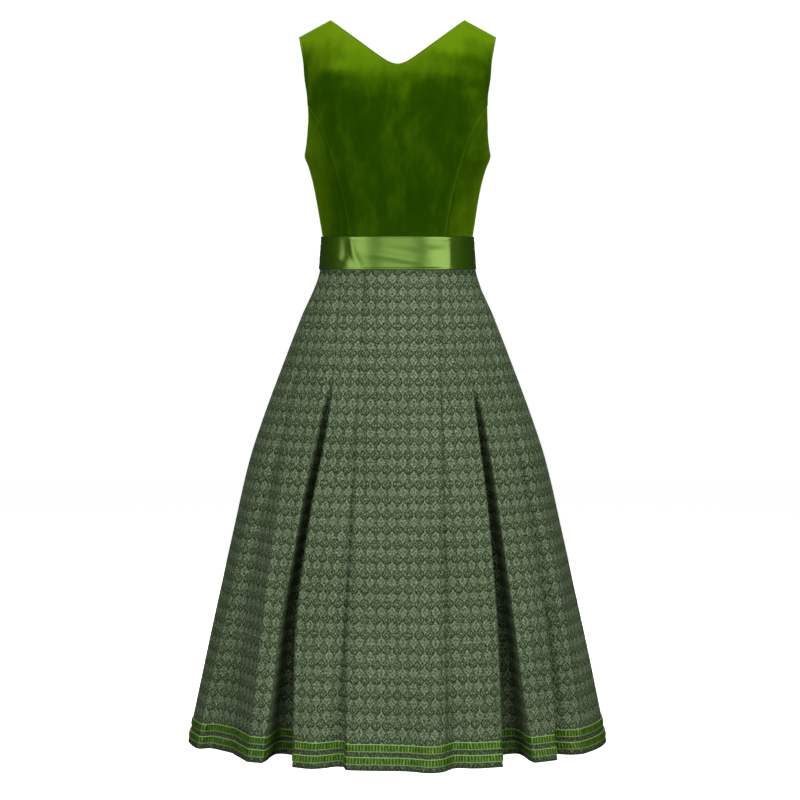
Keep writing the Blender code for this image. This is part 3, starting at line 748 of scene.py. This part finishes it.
def lay_cloth(node, cloth, sheets):
    """A cloth piece: sheets of points, made a wall by Solidify and rounded by subdivision."""
    corners, faces, flat, first = [], [], [], 0
    for sheet in sheets:
        rows, columns = sheet.points.shape[:2]
        index = first + np.arange(rows * columns).reshape(rows, columns)
        first += rows * columns
        shift = np.zeros((rows, columns - 1)) if sheet.strips is None else sheet.strips
        face, places = [], []
        for up, along in ((0, 0), (0, 1), (1, 1), (1, 0)):
            block = np.s_[up:rows - 1 + up, along:columns - 1 + along]
            moved = sheet.along[block] + shift[up:rows - 1 + up]
            face.append(index[block])
            places.append(np.stack((moved, sheet.up[block]), axis=-1))
        corners.append(sheet.points.reshape(-1, 3))
        faces.append(np.stack(face, axis=-1).reshape(-1, 4))
        flat.append(np.stack(places, axis=2).reshape(-1, 2))
    name = node + "_" + cloth.look
    mesh = bpy.data.meshes.new(name)
    mesh.from_pydata(np.concatenate(corners).tolist(), [], np.concatenate(faces).tolist())
    layer = mesh.uv_layers.new(name="cloth")
    layer.uv.foreach_set("vector", np.concatenate(flat).astype(np.float32).ravel())
    shape = bmesh.new()
    shape.from_mesh(mesh)
    bmesh.ops.remove_doubles(shape, verts=shape.verts, dist=0.00002)
    bmesh.ops.dissolve_degenerate(shape, edges=shape.edges, dist=0.00001)
    shape.to_mesh(mesh)
    shape.free()
    mesh.materials.append(cloth.material)
    mesh.shade_smooth()
    piece = bpy.data.objects.new(name, mesh)
    bpy.context.scene.collection.objects.link(piece)
    wall = piece.modifiers.new("wall", "SOLIDIFY")
    wall.thickness = cloth.thickness
    wall.offset = 1.0 if cloth.outward else -1.0
    wall.use_rim = True
    if cloth.smooth:
        rounding = piece.modifiers.new("rounding", "SUBSURF")
        rounding.levels = cloth.smooth
        rounding.render_levels = cloth.smooth
    bpy.context.view_layer.update()
    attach(piece, "root")
    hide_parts(node)
    flat, area = FLAT_SIZES[node]


# ---------------------------------------------------------------- materials
class Value:
    """A number that a material works out for each point."""

    def __init__(self, graph, socket):
        self.graph, self.socket = graph, socket

    def __add__(self, other):
        return self.graph.math("ADD", self, other)

    def __sub__(self, other):
        return self.graph.math("SUBTRACT", self, other)

    def __mul__(self, other):
        return self.graph.math("MULTIPLY", self, other)

    def __truediv__(self, other):
        return self.graph.math("DIVIDE", self, other)

    def __abs__(self):
        return self.graph.math("ABSOLUTE", self)


class Graph:
    """Adds nodes to a material and joins them."""

    def __init__(self, name):
        self.material = bpy.data.materials.new(name)
        self.material.use_nodes = True
        self.tree = self.material.node_tree
        self.shader = self.tree.nodes["Principled BSDF"]

    def feed(self, socket, value):
        """Joins a socket to another, or gives it a value."""
        if isinstance(value, Value):
            value = value.socket
        if isinstance(value, bpy.types.NodeSocket):
            self.tree.links.new(value, socket)
        else:
            socket.default_value = value

    def node(self, kind, inputs=None, **settings):
        """A node with its settings and inputs."""
        made = self.tree.nodes.new("ShaderNode" + kind)
        for key, value in settings.items():
            setattr(made, key, value)
        for key, value in (inputs or {}).items():
            self.feed(made.inputs[key], value)
        return made

    def math(self, operation, *values, clamp=False):
        """A Math node's result."""
        made = self.node("Math", dict(enumerate(values)), operation=operation, use_clamp=clamp)
        return Value(self, made.outputs[0])

    def away(self, value, size):
        """1 where the value is 0, falling to 0 at plus or minus the size."""
        return self.math("SUBTRACT", 1.0, abs(value) / size, clamp=True)

    def wave(self, value, length):
        """A sine wave of a length."""
        return self.math("SINE", value * (2 * math.pi / length))

    def span(self, value, low, high, start=0.0, end=1.0, kind="SMOOTHSTEP"):
        """The start below low, the end above high, and a slope between."""
        made = self.node("MapRange", {
            "Value": value, "From Min": low, "From Max": high, "To Min": start, "To Max": end,
        }, interpolation_type=kind)
        return Value(self, made.outputs["Result"])

    def ramp(self, value, *stops):
        """A colour ramp through (place, colour) stops."""
        made = self.node("ValToRGB", {"Fac": value})
        ramp = made.color_ramp
        while len(ramp.elements) < len(stops):
            ramp.elements.new(1.0)
        for element, (place, colour) in zip(ramp.elements, stops):
            element.position = place
            element.color = (*colour, 1.0)
        return made.outputs["Color"]

    def mix(self, share, a, b):
        """Two colours mixed."""
        return self.node("Mix", {0: share, 6: a, 7: b}, data_type="RGBA").outputs[2]

    def noise(self, place, scale, detail=2.0, roughness=0.5):
        """Noise from 0 to 1 at a place."""
        made = self.node("TexNoise", {
            "Vector": place, "Scale": scale, "Detail": detail, "Roughness": roughness})
        return Value(self, made.outputs["Fac"])

    def stretched(self, place, scale):
        """A place with a scale of its own along each axis."""
        return self.node("Mapping", {"Vector": place, "Scale": scale}).outputs["Vector"]

    def parts(self, vector):
        """A vector's X, Y and Z."""
        made = self.node("SeparateXYZ", {"Vector": vector})
        return [Value(self, socket) for socket in made.outputs]

    def place(self):
        """The piece's own coordinates, in metres."""
        return self.node("TexCoord").outputs["Object"]

    def flat_place(self):
        """The cloth's flat coordinates, in metres: along, up and both."""
        flat = self.node("UVMap", uv_map="cloth").outputs["UV"]
        along, up, _ = self.parts(flat)
        return along, up, flat

    def bump(self, height, strength, distance):
        """Bump that goes to the shader."""
        made = self.node("Bump", {"Height": height, "Strength": strength, "Distance": distance})
        self.feed(self.shader.inputs["Normal"], made.outputs["Normal"])

    def finish(self, colour, roughness, others):
        """Gives the shader its colour and its other values."""
        for name, value in {"Base Color": colour, "Roughness": roughness, **others}.items():
            self.feed(self.shader.inputs[name], value)
        return self.material


def tinted(colour, size):
    """A colour made lighter or darker."""
    return tuple(min(part * size, 1.0) for part in colour)


def velvet_material(colours):
    """Short silky pile brushed in soft patches, with painted light: painted lighter where it
    faces up, towards the top light, and a painted sheen where it faces the sides low on the
    bodice.
    """
    g = Graph("velvet")
    place = g.place()
    long = g.stretched(place, (1.0, 1.0, 0.45))
    patches = g.noise(long, 14.0, 4.0, 0.62)
    strokes = g.noise(long, 70.0, 3.0, 0.6)
    pile = g.noise(place, 2600.0, 2.0, 0.7)
    # Painted light: lighter where the velvet faces up, as if lit from above, and a painted sheen
    # where it faces the sides on the lower bodice.
    normal_x, _, normal_z = g.parts(g.node("NewGeometry").outputs["Normal"])
    painted_top_light = g.span(normal_z, 0.05, 0.75)
    painted_side_sheen = g.span(abs(normal_x), 0.30, 0.95)
    low = g.span(g.parts(place)[2], WAIST_Z + 0.17, WAIST_Z + 0.26, 0.26, 0.0)
    shade = patches * 0.62 + strokes * 0.20 + pile * 0.14 + painted_top_light * 0.62 + painted_side_sheen * low
    colour = g.ramp(
        shade,
        (0.30, tinted(colours.velvet, 0.62)),
        (0.48, colours.velvet),
        (0.92, colours.velvet_nap_and_painted_light),
    )
    g.bump(pile * 0.5 + strokes * 1.2, 0.35, 0.0004)
    return g.finish(colour, 0.85, {
        "Sheen Weight": 0.80, "Sheen Roughness": 0.45, "Sheen Tint": (0.30, 0.62, 0.002, 1.0),
        "Specular IOR Level": 0.0})


def satin_material(colours):
    """Dense, glossy weave whose fine floats run round the waist."""
    g = Graph("satin")
    _, up, flat = g.flat_place()
    streaks = g.noise(g.stretched(flat, (6.0, 160.0, 1.0)), 9.0, 3.0, 0.6)
    soft = g.noise(g.place(), 22.0)
    colour = g.ramp(
        streaks * 0.35 + soft * 0.65,
        (0.25, tinted(colours.satin, 0.80)),
        (0.75, tinted(colours.satin, 1.12)),
    )
    g.bump(g.wave(up, SATIN_THREAD) * 0.10 + streaks, 0.10, 0.0004)
    return g.finish(colour, 0.24, {
        "Anisotropic": 0.35, "Specular IOR Level": 1.0,
        "Specular Tint": (0.64, 0.96, 0.24, 1.0)})


def print_material(colours, pattern):
    """Printed cotton: medallions in rows and small four petalled flowers between them."""
    g = Graph("printed_cotton")
    along, up, flat = g.flat_place()
    wide, high = pattern.repeat_across * 1000, pattern.repeat_up * 1000  # mm

    def cell(value, size, start):
        return (g.math("FRACT", value / (size / 1000) + start) - 0.5) * size

    def oval(px, py, across, tall, power):
        total = g.math("POWER", abs(px) / across, power) + g.math("POWER", abs(py) / tall, power)
        return g.math("POWER", total, 1 / power)

    def dots(across, tall, size):
        far = oval(abs(flower_x) - wide * across, abs(flower_y) - high * tall, 1.0, 1.0, 2.0)
        return g.away(far, wide * size)

    x, y = cell(along, wide, 0.5), cell(up, high, 0.5)
    ring = oval(x, y, wide * 0.38, high * 0.30, 1.25)
    outline, inner = g.away(ring - 1.0, 0.26), g.away(ring - 0.50, 0.17)
    heart = g.away(ring, 0.34)
    foot = g.math("LESS_THAN", y, high * -0.06) * 0.55 + 0.62
    flower_x, flower_y = cell(along, wide, 0.0), cell(up, high, 0.0)
    petal = dots(0.125, 0.085, 0.135)
    leaf = dots(0.300, 0.165, 0.085)
    bud = dots(0.330, 0.000, 0.075)
    stem = g.away(flower_x, wide * 0.07) * g.math("GREATER_THAN", abs(flower_y), STEM_FROM)
    lattice = abs(x) / (wide / 2) + abs(y) / (high / 2)
    diamonds = g.math("COSINE", lattice * (2 * math.pi * DIAMONDS))
    grain = g.noise(flat, 290.0, 2.0, 0.75)
    cloudy = g.noise(g.place(), 11.0, 3.0, 0.55)
    tone = (
        outline * foot * -0.56 + inner * -0.20 + heart * 0.24
        + petal * 0.38 + leaf * 0.22 + bud * 0.14 + stem * 0.10 + diamonds * 0.19
        + (grain - 0.5) * 2.20 + (cloudy - 0.5) * 0.20 + 0.42
    )
    colour = g.ramp(
        tone,
        (0.0, colours.print_dark),
        (0.42, colours.print_ground),
        (1.0, colours.print_light),
    )
    # Painted shade: the print is mixed towards a dark green over the hem band below the ribbons.
    turn = WAIST_Z + HEM_SHADE_TOP
    hem = g.span(g.parts(g.place())[2], turn - 0.002, turn + 0.002, 0.34, 0.0, "LINEAR")
    colour = g.mix(hem, colour, HEM_SHADE)
    weave = g.wave(along, COTTON_THREAD) * g.wave(up, COTTON_THREAD)
    g.bump(weave * 0.5 + grain, 0.25, 0.0003)
    return g.finish(colour, 0.82, {
        "Sheen Weight": 0.02, "Sheen Roughness": 0.5, "Sheen Tint": (0.70, 0.85, 0.55, 1.0),
        "Specular IOR Level": 0.05})


def ribbon_material(colours):
    """Gathered satin ribbon with pale woven edges: a painted highlight on the crests of its
    gathers and painted shade in the troughs between them.

    The flat coordinates are counted in gathers along and in ribbon widths up."""
    g = Graph("ruched_ribbon")
    along, up, flat = g.flat_place()
    slow, uneven = g.noise(flat, 0.22), g.noise(flat, 1.7, 2.0, 0.6)
    # Painted highlight and painted shade: the colour follows the gathers, lighter on their crests
    # and darker in the troughs.
    crest = g.wave(along, 1.0) * 0.36 + (uneven - 0.5) + (slow - 0.5) * 0.6 + 0.40
    band = g.ramp(
        crest,
        (0.0, colours.ribbon_painted_shade),
        (0.52, colours.ribbon),
        (0.98, colours.ribbon_crest),
    )
    edge = g.span(abs(up - 0.5), 0.375, 0.415)
    colour = g.mix(edge, band, (*colours.ribbon_edge, 1.0))
    g.bump(g.wave(along, 1 / THREADS_IN_GATHER), 0.12, 0.0002)
    return g.finish(colour, 0.42, {
        "Specular IOR Level": 0.20, "Specular Tint": (0.80, 1.0, 0.45, 1.0)})


def paper_material():
    """Matt white paper, lit evenly all round."""
    g = Graph("white_paper")
    tooth = g.noise(g.place(), 60.0, 2.0, 0.6)
    colour = g.ramp(tooth, (0.3, (0.84, 0.84, 0.84)), (0.7, (0.86, 0.86, 0.86)))
    return g.finish(colour, 0.9, {
        "Emission Color": (1.0, 1.0, 1.0, 1.0), "Emission Strength": 0.93})


# ---------------------------------------------------------------- settings
def colour_setting(name, default):
    """A colour that a user can change."""
    return FloatVectorProperty(name=name, default=default, subtype="COLOR", min=0.0, max=1.0)


def length_setting(name, default):
    """A length that a user can change."""
    return FloatProperty(name=name, default=default, min=0.0, unit="LENGTH", precision=4)


class DressCloth(bpy.types.PropertyGroup):
    """Thickness of the cloth and the ribbons' gathers."""

    velvet: length_setting("Bodice's velvet", 0.0013)
    satin: length_setting("Sash", 0.0008)
    cotton: length_setting("Skirt's cotton", 0.0007)
    ribbon: length_setting("Ribbons", 0.0005)
    ribbon_gather: length_setting("Distance between gathers", 0.0050)
    ribbon_crest: length_setting("Height of gathers", 0.0011)


class DressPattern(bpy.types.PropertyGroup):
    """Size of the skirt's print."""

    repeat_across: length_setting("Width of a repeat", 0.0172)
    repeat_up: length_setting("Height of a repeat", 0.0236)


class DressColours(bpy.types.PropertyGroup):
    """Colours of the dress."""

    velvet: colour_setting("Velvet", (0.018, 0.060, 0.0002))
    # Painted light: the velvet's colour where it faces up or sideways, which its lighter brushed
    # patches also reach.
    velvet_nap_and_painted_light: colour_setting("Velvet facing the light", (0.125, 0.240, 0.004))
    satin: colour_setting("Sash", (0.028, 0.074, 0.001))
    print_dark: colour_setting("Medallion outlines", (0.018, 0.032, 0.008))
    print_ground: colour_setting("Ground of the print", (0.102, 0.147, 0.073))
    print_light: colour_setting("Petals of the print", (0.330, 0.385, 0.270))
    ribbon: colour_setting("Ribbons' middle", (0.026, 0.092, 0.002))
    # Painted shade between the gathers and a painted highlight on their tops.
    ribbon_painted_shade: colour_setting("Between the gathers", (0.006, 0.034, 0.0005))
    ribbon_crest: colour_setting("Tops of the gathers", (0.200, 0.370, 0.035))
    ribbon_edge: colour_setting("Ribbons' woven edges", (0.300, 0.460, 0.170))


class DressStage(bpy.types.PropertyGroup):
    """Camera, floor and light."""

    lens: FloatProperty(name="Focal length in mm", default=109.4, min=20.0)
    camera_distance: length_setting("Camera to the dress's middle", 4.0)
    floor_drop: length_setting("Floor below the hem", 0.30)
    glow: FloatProperty(name="Share of the soft boxes' radiance", default=1.0, min=0.0)
    sky: FloatProperty(name="Light from the room", default=0.04, min=0.0)


# ---------------------------------------------------------------- pieces
class DRESS_OT_bodice(bpy.types.Operator):
    """Centre back, two side backs and two fronts, of velvet"""

    bl_idname = "dress.bodice"
    bl_label = "Bodice"

    def execute(self, context):
        material = velvet_material(context.scene.dress_colours)
        velvet = Cloth("velvet", "velvet", context.scene.dress_cloth.velvet, material,
                       "stretched", "bodice_back", smooth=1)
        halves = {"back": back_half(), "side_back": side_back_half(), "front": front_half()}
        for kind, (points, places) in halves.items():
            face = "front" if kind == "front" else "back"
            normal = normals_of(points) * Y_SIGN[face] * -1
            level = places[..., 1]
            made = {}
            for side in (1, -1):
                at = places * (side, 1.0)
                lift = crease_height(BODICE_CREASES[face], at) + unevenness(at, 0.0005, 3)
                lift = lift * ease(level, *CREASES_FROM) * ease(CREASES_TO - level, 0.0, 0.02)
                lift = lift + self.edges(kind, points, level)
                moved = points + normal * lift[..., None]
                self.meet(kind, face, moved, places)
                sheet = measured(moved, points)
                sheet = sheet if side == 1 else mirrored(sheet)
                made[side] = turned(sheet) if kind == "front" else sheet
            if kind == "back":
                lay_cloth("bodice_back", velvet, [made[-1], made[1]])
            else:
                lay_cloth("bodice_" + kind + "_right", velvet, [made[1]])
                lay_cloth("bodice_" + kind + "_left", velvet, [made[-1]])
        return {"FINISHED"}

    @staticmethod
    def meet(kind, face, points, places):
        """Takes the edges that meet another piece just past their seams."""
        lap = -Y_SIGN[face] * SEAM_LAP
        level = places[:, -1, 1]
        if kind != "side_back":
            points[-1, :, 1] = lap
        if kind == "back":
            points[:, 0, 0] = np.where(places[:, 0, 0] < 1e-6, 0.0, points[:, 0, 0])
        else:
            points[:, -1, 1] = np.where(level <= UNDERARM, lap, points[:, -1, 1])
        if kind == "front":
            points[:, 0, 0] = np.where(level <= FRONT_NECK, -SEAM_LAP, points[:, 0, 0])

    @staticmethod
    def edges(kind, points, level):
        """Seams sink in, and cut edges are turned to a soft roll."""
        first, last = edge_distance(points, 1, False), edge_distance(points, 1, True)
        seam = roll_in(last, *SEAM_ROLL)
        under_tip = ease(BACK_SEAM_TOP - level, 0.0, SEAM_TIP)
        if kind == "side_back":
            top = turned_edge(edge_distance(points, 0, True))
            return roll_in(first, *SEAM_ROLL) * under_tip + seam + top
        if kind == "back":
            neck, armhole, seam = BACK_NECK, BACK_SEAM_TOP, seam * under_tip
        else:
            neck, armhole = FRONT_NECK, UNDERARM
            closing = roll_in(first, *CLOSING_ROLL)
            seam = seam * (level <= UNDERARM) + closing * (level <= FRONT_NECK)
        return seam + turned_edge(first) * (level > neck) + turned_edge(last) * (level > armhole)


class DRESS_OT_sash(bpy.types.Operator):
    """Satin sash, lapped flat at the centre front"""

    bl_idname = "dress.sash"
    bl_label = "Sash"

    def execute(self, context):
        heights = SASH_BOTTOM + (SASH_TOP - SASH_BOTTOM) * crowded(SASH_ROW_COUNT)[:, None]
        half = SASH["half_width"](heights)
        whole = 2 * math.pi + SASH_LAP / half
        turn = math.pi + whole * np.linspace(0.0, 1.0, SASH_COLUMN_COUNT)[None, :]
        behind = np.cos(turn) > 0
        deep = np.where(behind, SASH["back"](heights), SASH["front"](heights))
        lift = SASH_LAP_LIFT * ease(turn / math.pi, *SASH_LAP_TURN)
        x = (half + lift) * np.sin(turn)
        z = np.broadcast_to(heights, x.shape)
        points = np.stack((x, -(deep + lift) * np.cos(turn), z + WAIST_Z), axis=-1)
        places = np.stack((x, z), axis=-1)
        back, front = (crease_height(SASH_CREASES[face], places) for face in ("back", "front"))
        back = back + crease_height(SASH_FOLD, places, sharp=True)
        waves = np.where(behind, back, front)
        waves = waves + unevenness(places * (1.0, 3.0), 0.0004, 7) + SASH_PROUD
        near = np.minimum(heights - SASH_BOTTOM, SASH_TOP - heights)
        waves = waves * ease(near, -0.004, 0.006) + turned_edge(near)
        points = points + normals_of(points) * waves[..., None]
        material = satin_material(context.scene.dress_colours)
        satin = Cloth("satin", "satin", context.scene.dress_cloth.satin, material,
                      "stretched", "bodice_back", smooth=1)
        lay_cloth("sash", satin, [measured(points)])
        return {"FINISHED"}


class DRESS_OT_skirt(bpy.types.Operator):
    """Back and front of the skirt, laid in knife pleats, with the ribbons above its hem"""

    bl_idname = "dress.skirt"
    bl_label = "Skirt and ribbons"

    def execute(self, context):
        scene = context.scene
        cloth, colours = scene.dress_cloth, scene.dress_colours
        cotton = Cloth("cotton", "print", cloth.cotton,
                       print_material(colours, scene.dress_pattern), "hung", "sash")
        grids = {}
        for seed, face in enumerate(("back", "front")):
            points, places, panels, shown = skirt_grid(face)
            below = -places[..., 1]
            lift = crease_height(SKIRT_CREASES[face], places)
            lift = lift + unevenness(places, 0.0022, 11 + seed) * ease(below, 0.1, 0.5)
            soft = shown.astype(float)
            for _ in range(2):
                soft[1:-1] = (soft[:-2] + 2 * soft[1:-1] + soft[2:]) / 4
            edge = np.minimum(edge_distance(points, 1, False), edge_distance(points, 1, True))
            lift = lift * soft * ease(below, 0.03, 0.09) * ease(edge, 0.0, 0.02)
            lift = lift + roll_in(edge, *SKIRT_ROLL)
            grids[face] = points + normals_of(points) * lift[..., None]
            sheet = self.flattened(grids[face], panels, scene.dress_pattern)
            lay_cloth("skirt_" + face, cotton, [sheet])
        ribbon = Cloth("ruched", "ribbon", cloth.ribbon, ribbon_material(colours),
                       "gathered", "skirt_back", outward=True)
        for number, node in enumerate(("ribbon_lower", "ribbon_upper")):
            heights = [corner.z - WAIST_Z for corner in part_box(node)]
            lay_cloth(node, ribbon, [self.ruched(grids, heights, cloth, number)])
        return {"FINISHED"}

    @staticmethod
    def flattened(points, panels, pattern):
        """The skirt's cloth with the print running down the middle of each panel."""
        along = edge_distance(points, 1, False)
        up = edge_distance(points, 0, False).mean(axis=1, keepdims=True)
        strip = np.where(np.abs(panels[1:]) < np.abs(panels[:-1]), panels[1:], panels[:-1])
        shift = np.zeros((points.shape[0], points.shape[1] - 1))
        wide = np.diff(along[0]) > PANEL_COLUMN
        for panel in np.unique(strip):
            inside = np.flatnonzero((strip == panel) & wide if panel else panels == 0)
            middle = inside[len(inside) // 2]
            own = pattern.repeat_across * PANEL_SHIFT * panel
            shift[:, strip == panel] = own - along[:, middle][:, None]
        return Sheet(points, along, np.broadcast_to(up, along.shape), shift)

    @staticmethod
    def ruched(grids, heights, cloth, seed):
        """A gathered ribbon on the skirt, its ends meeting at the left side seam."""
        rng = np.random.default_rng(20 + seed)
        inner = slice(len(SEAM_COLUMNS), -len(SEAM_COLUMNS))
        ring = []
        for height in heights:
            for points in (grids["back"], grids["front"]):
                levels = points[:, 0, 2] - WAIST_Z
                i = int(np.searchsorted(levels, height)) - 1
                share = (height - levels[i]) / (levels[i + 1] - levels[i])
                ring.append((points[i] * (1 - share) + points[i + 1] * share)[inner])
        ring = [np.concatenate(ring[:2]), np.concatenate(ring[2:])]
        steps = np.linalg.norm(np.diff(ring[0], axis=0), axis=1)
        length = np.concatenate(([0.0], np.cumsum(steps)))
        gathers = round(length[-1] / cloth.ribbon_gather)
        count = np.linspace(0.0, gathers, gathers * STEPS_PER_GATHER + 1)
        stops = count / gathers * length[-1]
        low, high = (np.stack([np.interp(stops, length, r[:, k]) for k in range(3)], axis=1)
                     for r in ring)
        drift, strength, slant = (
            np.interp(count, np.arange(gathers + 1), values)
            for values in (
                rng.normal(0.0, 0.10, gathers + 1),
                rng.uniform(0.55, 1.0, gathers + 1),
                rng.normal(0.0, 0.22, gathers + 1),
            )
        )
        across = np.linspace(0.0, 1.0, RIBBON_ROW_COUNT)[:, None]
        phase = count + drift + slant * (across - 0.5)
        middle = np.maximum(np.sin(math.pi * across), 0.0) ** 0.8
        middle[[0, -1]] = 0.0
        crest = cloth.ribbon_crest * strength * middle * (0.5 + 0.5 * np.sin(2 * math.pi * phase))
        near = (np.minimum(across, 1 - across) - CORD_PLACE) / CORD_PLACE
        lift = crest + CORD_HEIGHT * np.exp(-(near**2)) + RIBBON_PROUD
        base = low * (1 - across[..., None]) + high * across[..., None]
        points = base + normals_of(base) * lift[..., None]
        return Sheet(points, phase, np.broadcast_to(across, lift.shape))


class DRESS_OT_stage(bpy.types.Operator):
    """White paper floor, soft light and the camera behind the dress"""

    bl_idname = "dress.stage"
    bl_label = "Stage"

    def execute(self, context):
        scene, stage = context.scene, context.scene.dress_stage
        self.paper_room(HEM + WAIST_Z - stage.floor_drop)
        for name, box in LIGHTS.items():
            self.light(name, box, stage.glow)
        scene.world = bpy.data.worlds.new("white_room")
        scene.world.use_nodes = True
        background = scene.world.node_tree.nodes["Background"]
        background.inputs["Color"].default_value = (1.0, 1.0, 1.0, 1.0)
        background.inputs["Strength"].default_value = stage.sky
        scene.view_settings.view_transform = "Standard"
        lens = bpy.data.cameras.new("camera")
        lens.lens = stage.lens
        lens.sensor_width = 36.0
        scene.camera = bpy.data.objects.new("camera", lens)
        scene.collection.objects.link(scene.camera)
        scene.camera.location = (CAMERA_X, -stage.camera_distance, WAIST_Z)
        scene.camera.rotation_euler = (math.radians(90.0 - CAMERA_PITCH), 0.0, 0.0)
        return {"FINISHED"}

    @staticmethod
    def paper_room(floor):
        """A round floor of white paper that curves up into a wall all round."""
        turn = np.linspace(0.0, math.pi / 2, ROOM_CURVE_STEPS + 1)
        curve = zip(ROOM_FLOOR + ROOM_CURVE * np.sin(turn), ROOM_CURVE * (1 - np.cos(turn)))
        outline = [(0.0, 0.0), *curve, (ROOM_FLOOR + ROOM_CURVE, ROOM_CURVE + ROOM_WALL)]
        mesh = bpy.data.meshes.new("paper_room")
        mesh.from_pydata([(x, 0.0, z) for x, z in outline],
                         [(i, i + 1) for i in range(len(outline) - 1)], [])
        mesh.materials.append(paper_material())
        paper = bpy.data.objects.new("paper_room", mesh)
        bpy.context.scene.collection.objects.link(paper)
        paper.location.z = floor
        spin = paper.modifiers.new("round", "SCREW")
        spin.steps = spin.render_steps = ROOM_SIDES
        spin.use_merge_vertices = True
        spin.use_normal_calculate = True
        paper.visible_diffuse = False
        paper.visible_glossy = False

    @staticmethod
    def light(name, box, glow):
        """A soft box that faces the dress."""
        data = bpy.data.lights.new(name, "AREA")
        data.shape = "RECTANGLE"
        data.size, data.size_y = box.size
        data.energy = glow * box.radiance * math.pi * box.size[0] * box.size[1]
        lamp = bpy.data.objects.new(name, data)
        bpy.context.scene.collection.objects.link(lamp)
        lamp.location = box.location
        way = Vector((0.0, 0.0, WAIST_Z)) - lamp.location
        lamp.rotation_euler = way.to_track_quat("-Z", "Y").to_euler()
        lamp.visible_camera = False
        lamp.visible_diffuse = box.lights_matt
        lamp.visible_glossy = box.lights_gloss


class DRESS_PT_panel(bpy.types.Panel):
    """Sizes, colours and pieces of the dress"""

    bl_idname = "DRESS_PT_panel"
    bl_label = "Dirndl Dress"
    bl_space_type = "VIEW_3D"
    bl_region_type = "UI"
    bl_category = "Dress"

    def draw(self, context):
        for kind in GROUPS:
            settings = getattr(context.scene, kind)
            for name in settings.bl_rna.properties.keys():
                if name not in ("rna_type", "name"):
                    self.layout.prop(settings, name)
        for operator in OPERATORS:
            self.layout.operator(operator.bl_idname)


GROUPS = {
    "dress_cloth": DressCloth,
    "dress_pattern": DressPattern,
    "dress_colours": DressColours,
    "dress_stage": DressStage,
}
OPERATORS = (DRESS_OT_bodice, DRESS_OT_sash, DRESS_OT_skirt, DRESS_OT_stage)


def register():
    for kind in (*GROUPS.values(), *OPERATORS, DRESS_PT_panel):
        bpy.utils.register_class(kind)
    for name, kind in GROUPS.items():
        setattr(bpy.types.Scene, name, PointerProperty(type=kind))


def unregister():
    for name in GROUPS:
        delattr(bpy.types.Scene, name)
    for kind in (DRESS_PT_panel, *reversed(OPERATORS), *GROUPS.values()):
        bpy.utils.unregister_class(kind)


def main():
    register()
    for operator in OPERATORS:
        name = operator.bl_idname.split(".")[1]
        getattr(bpy.ops.dress, name)()


if __name__ == "__main__":
    main()
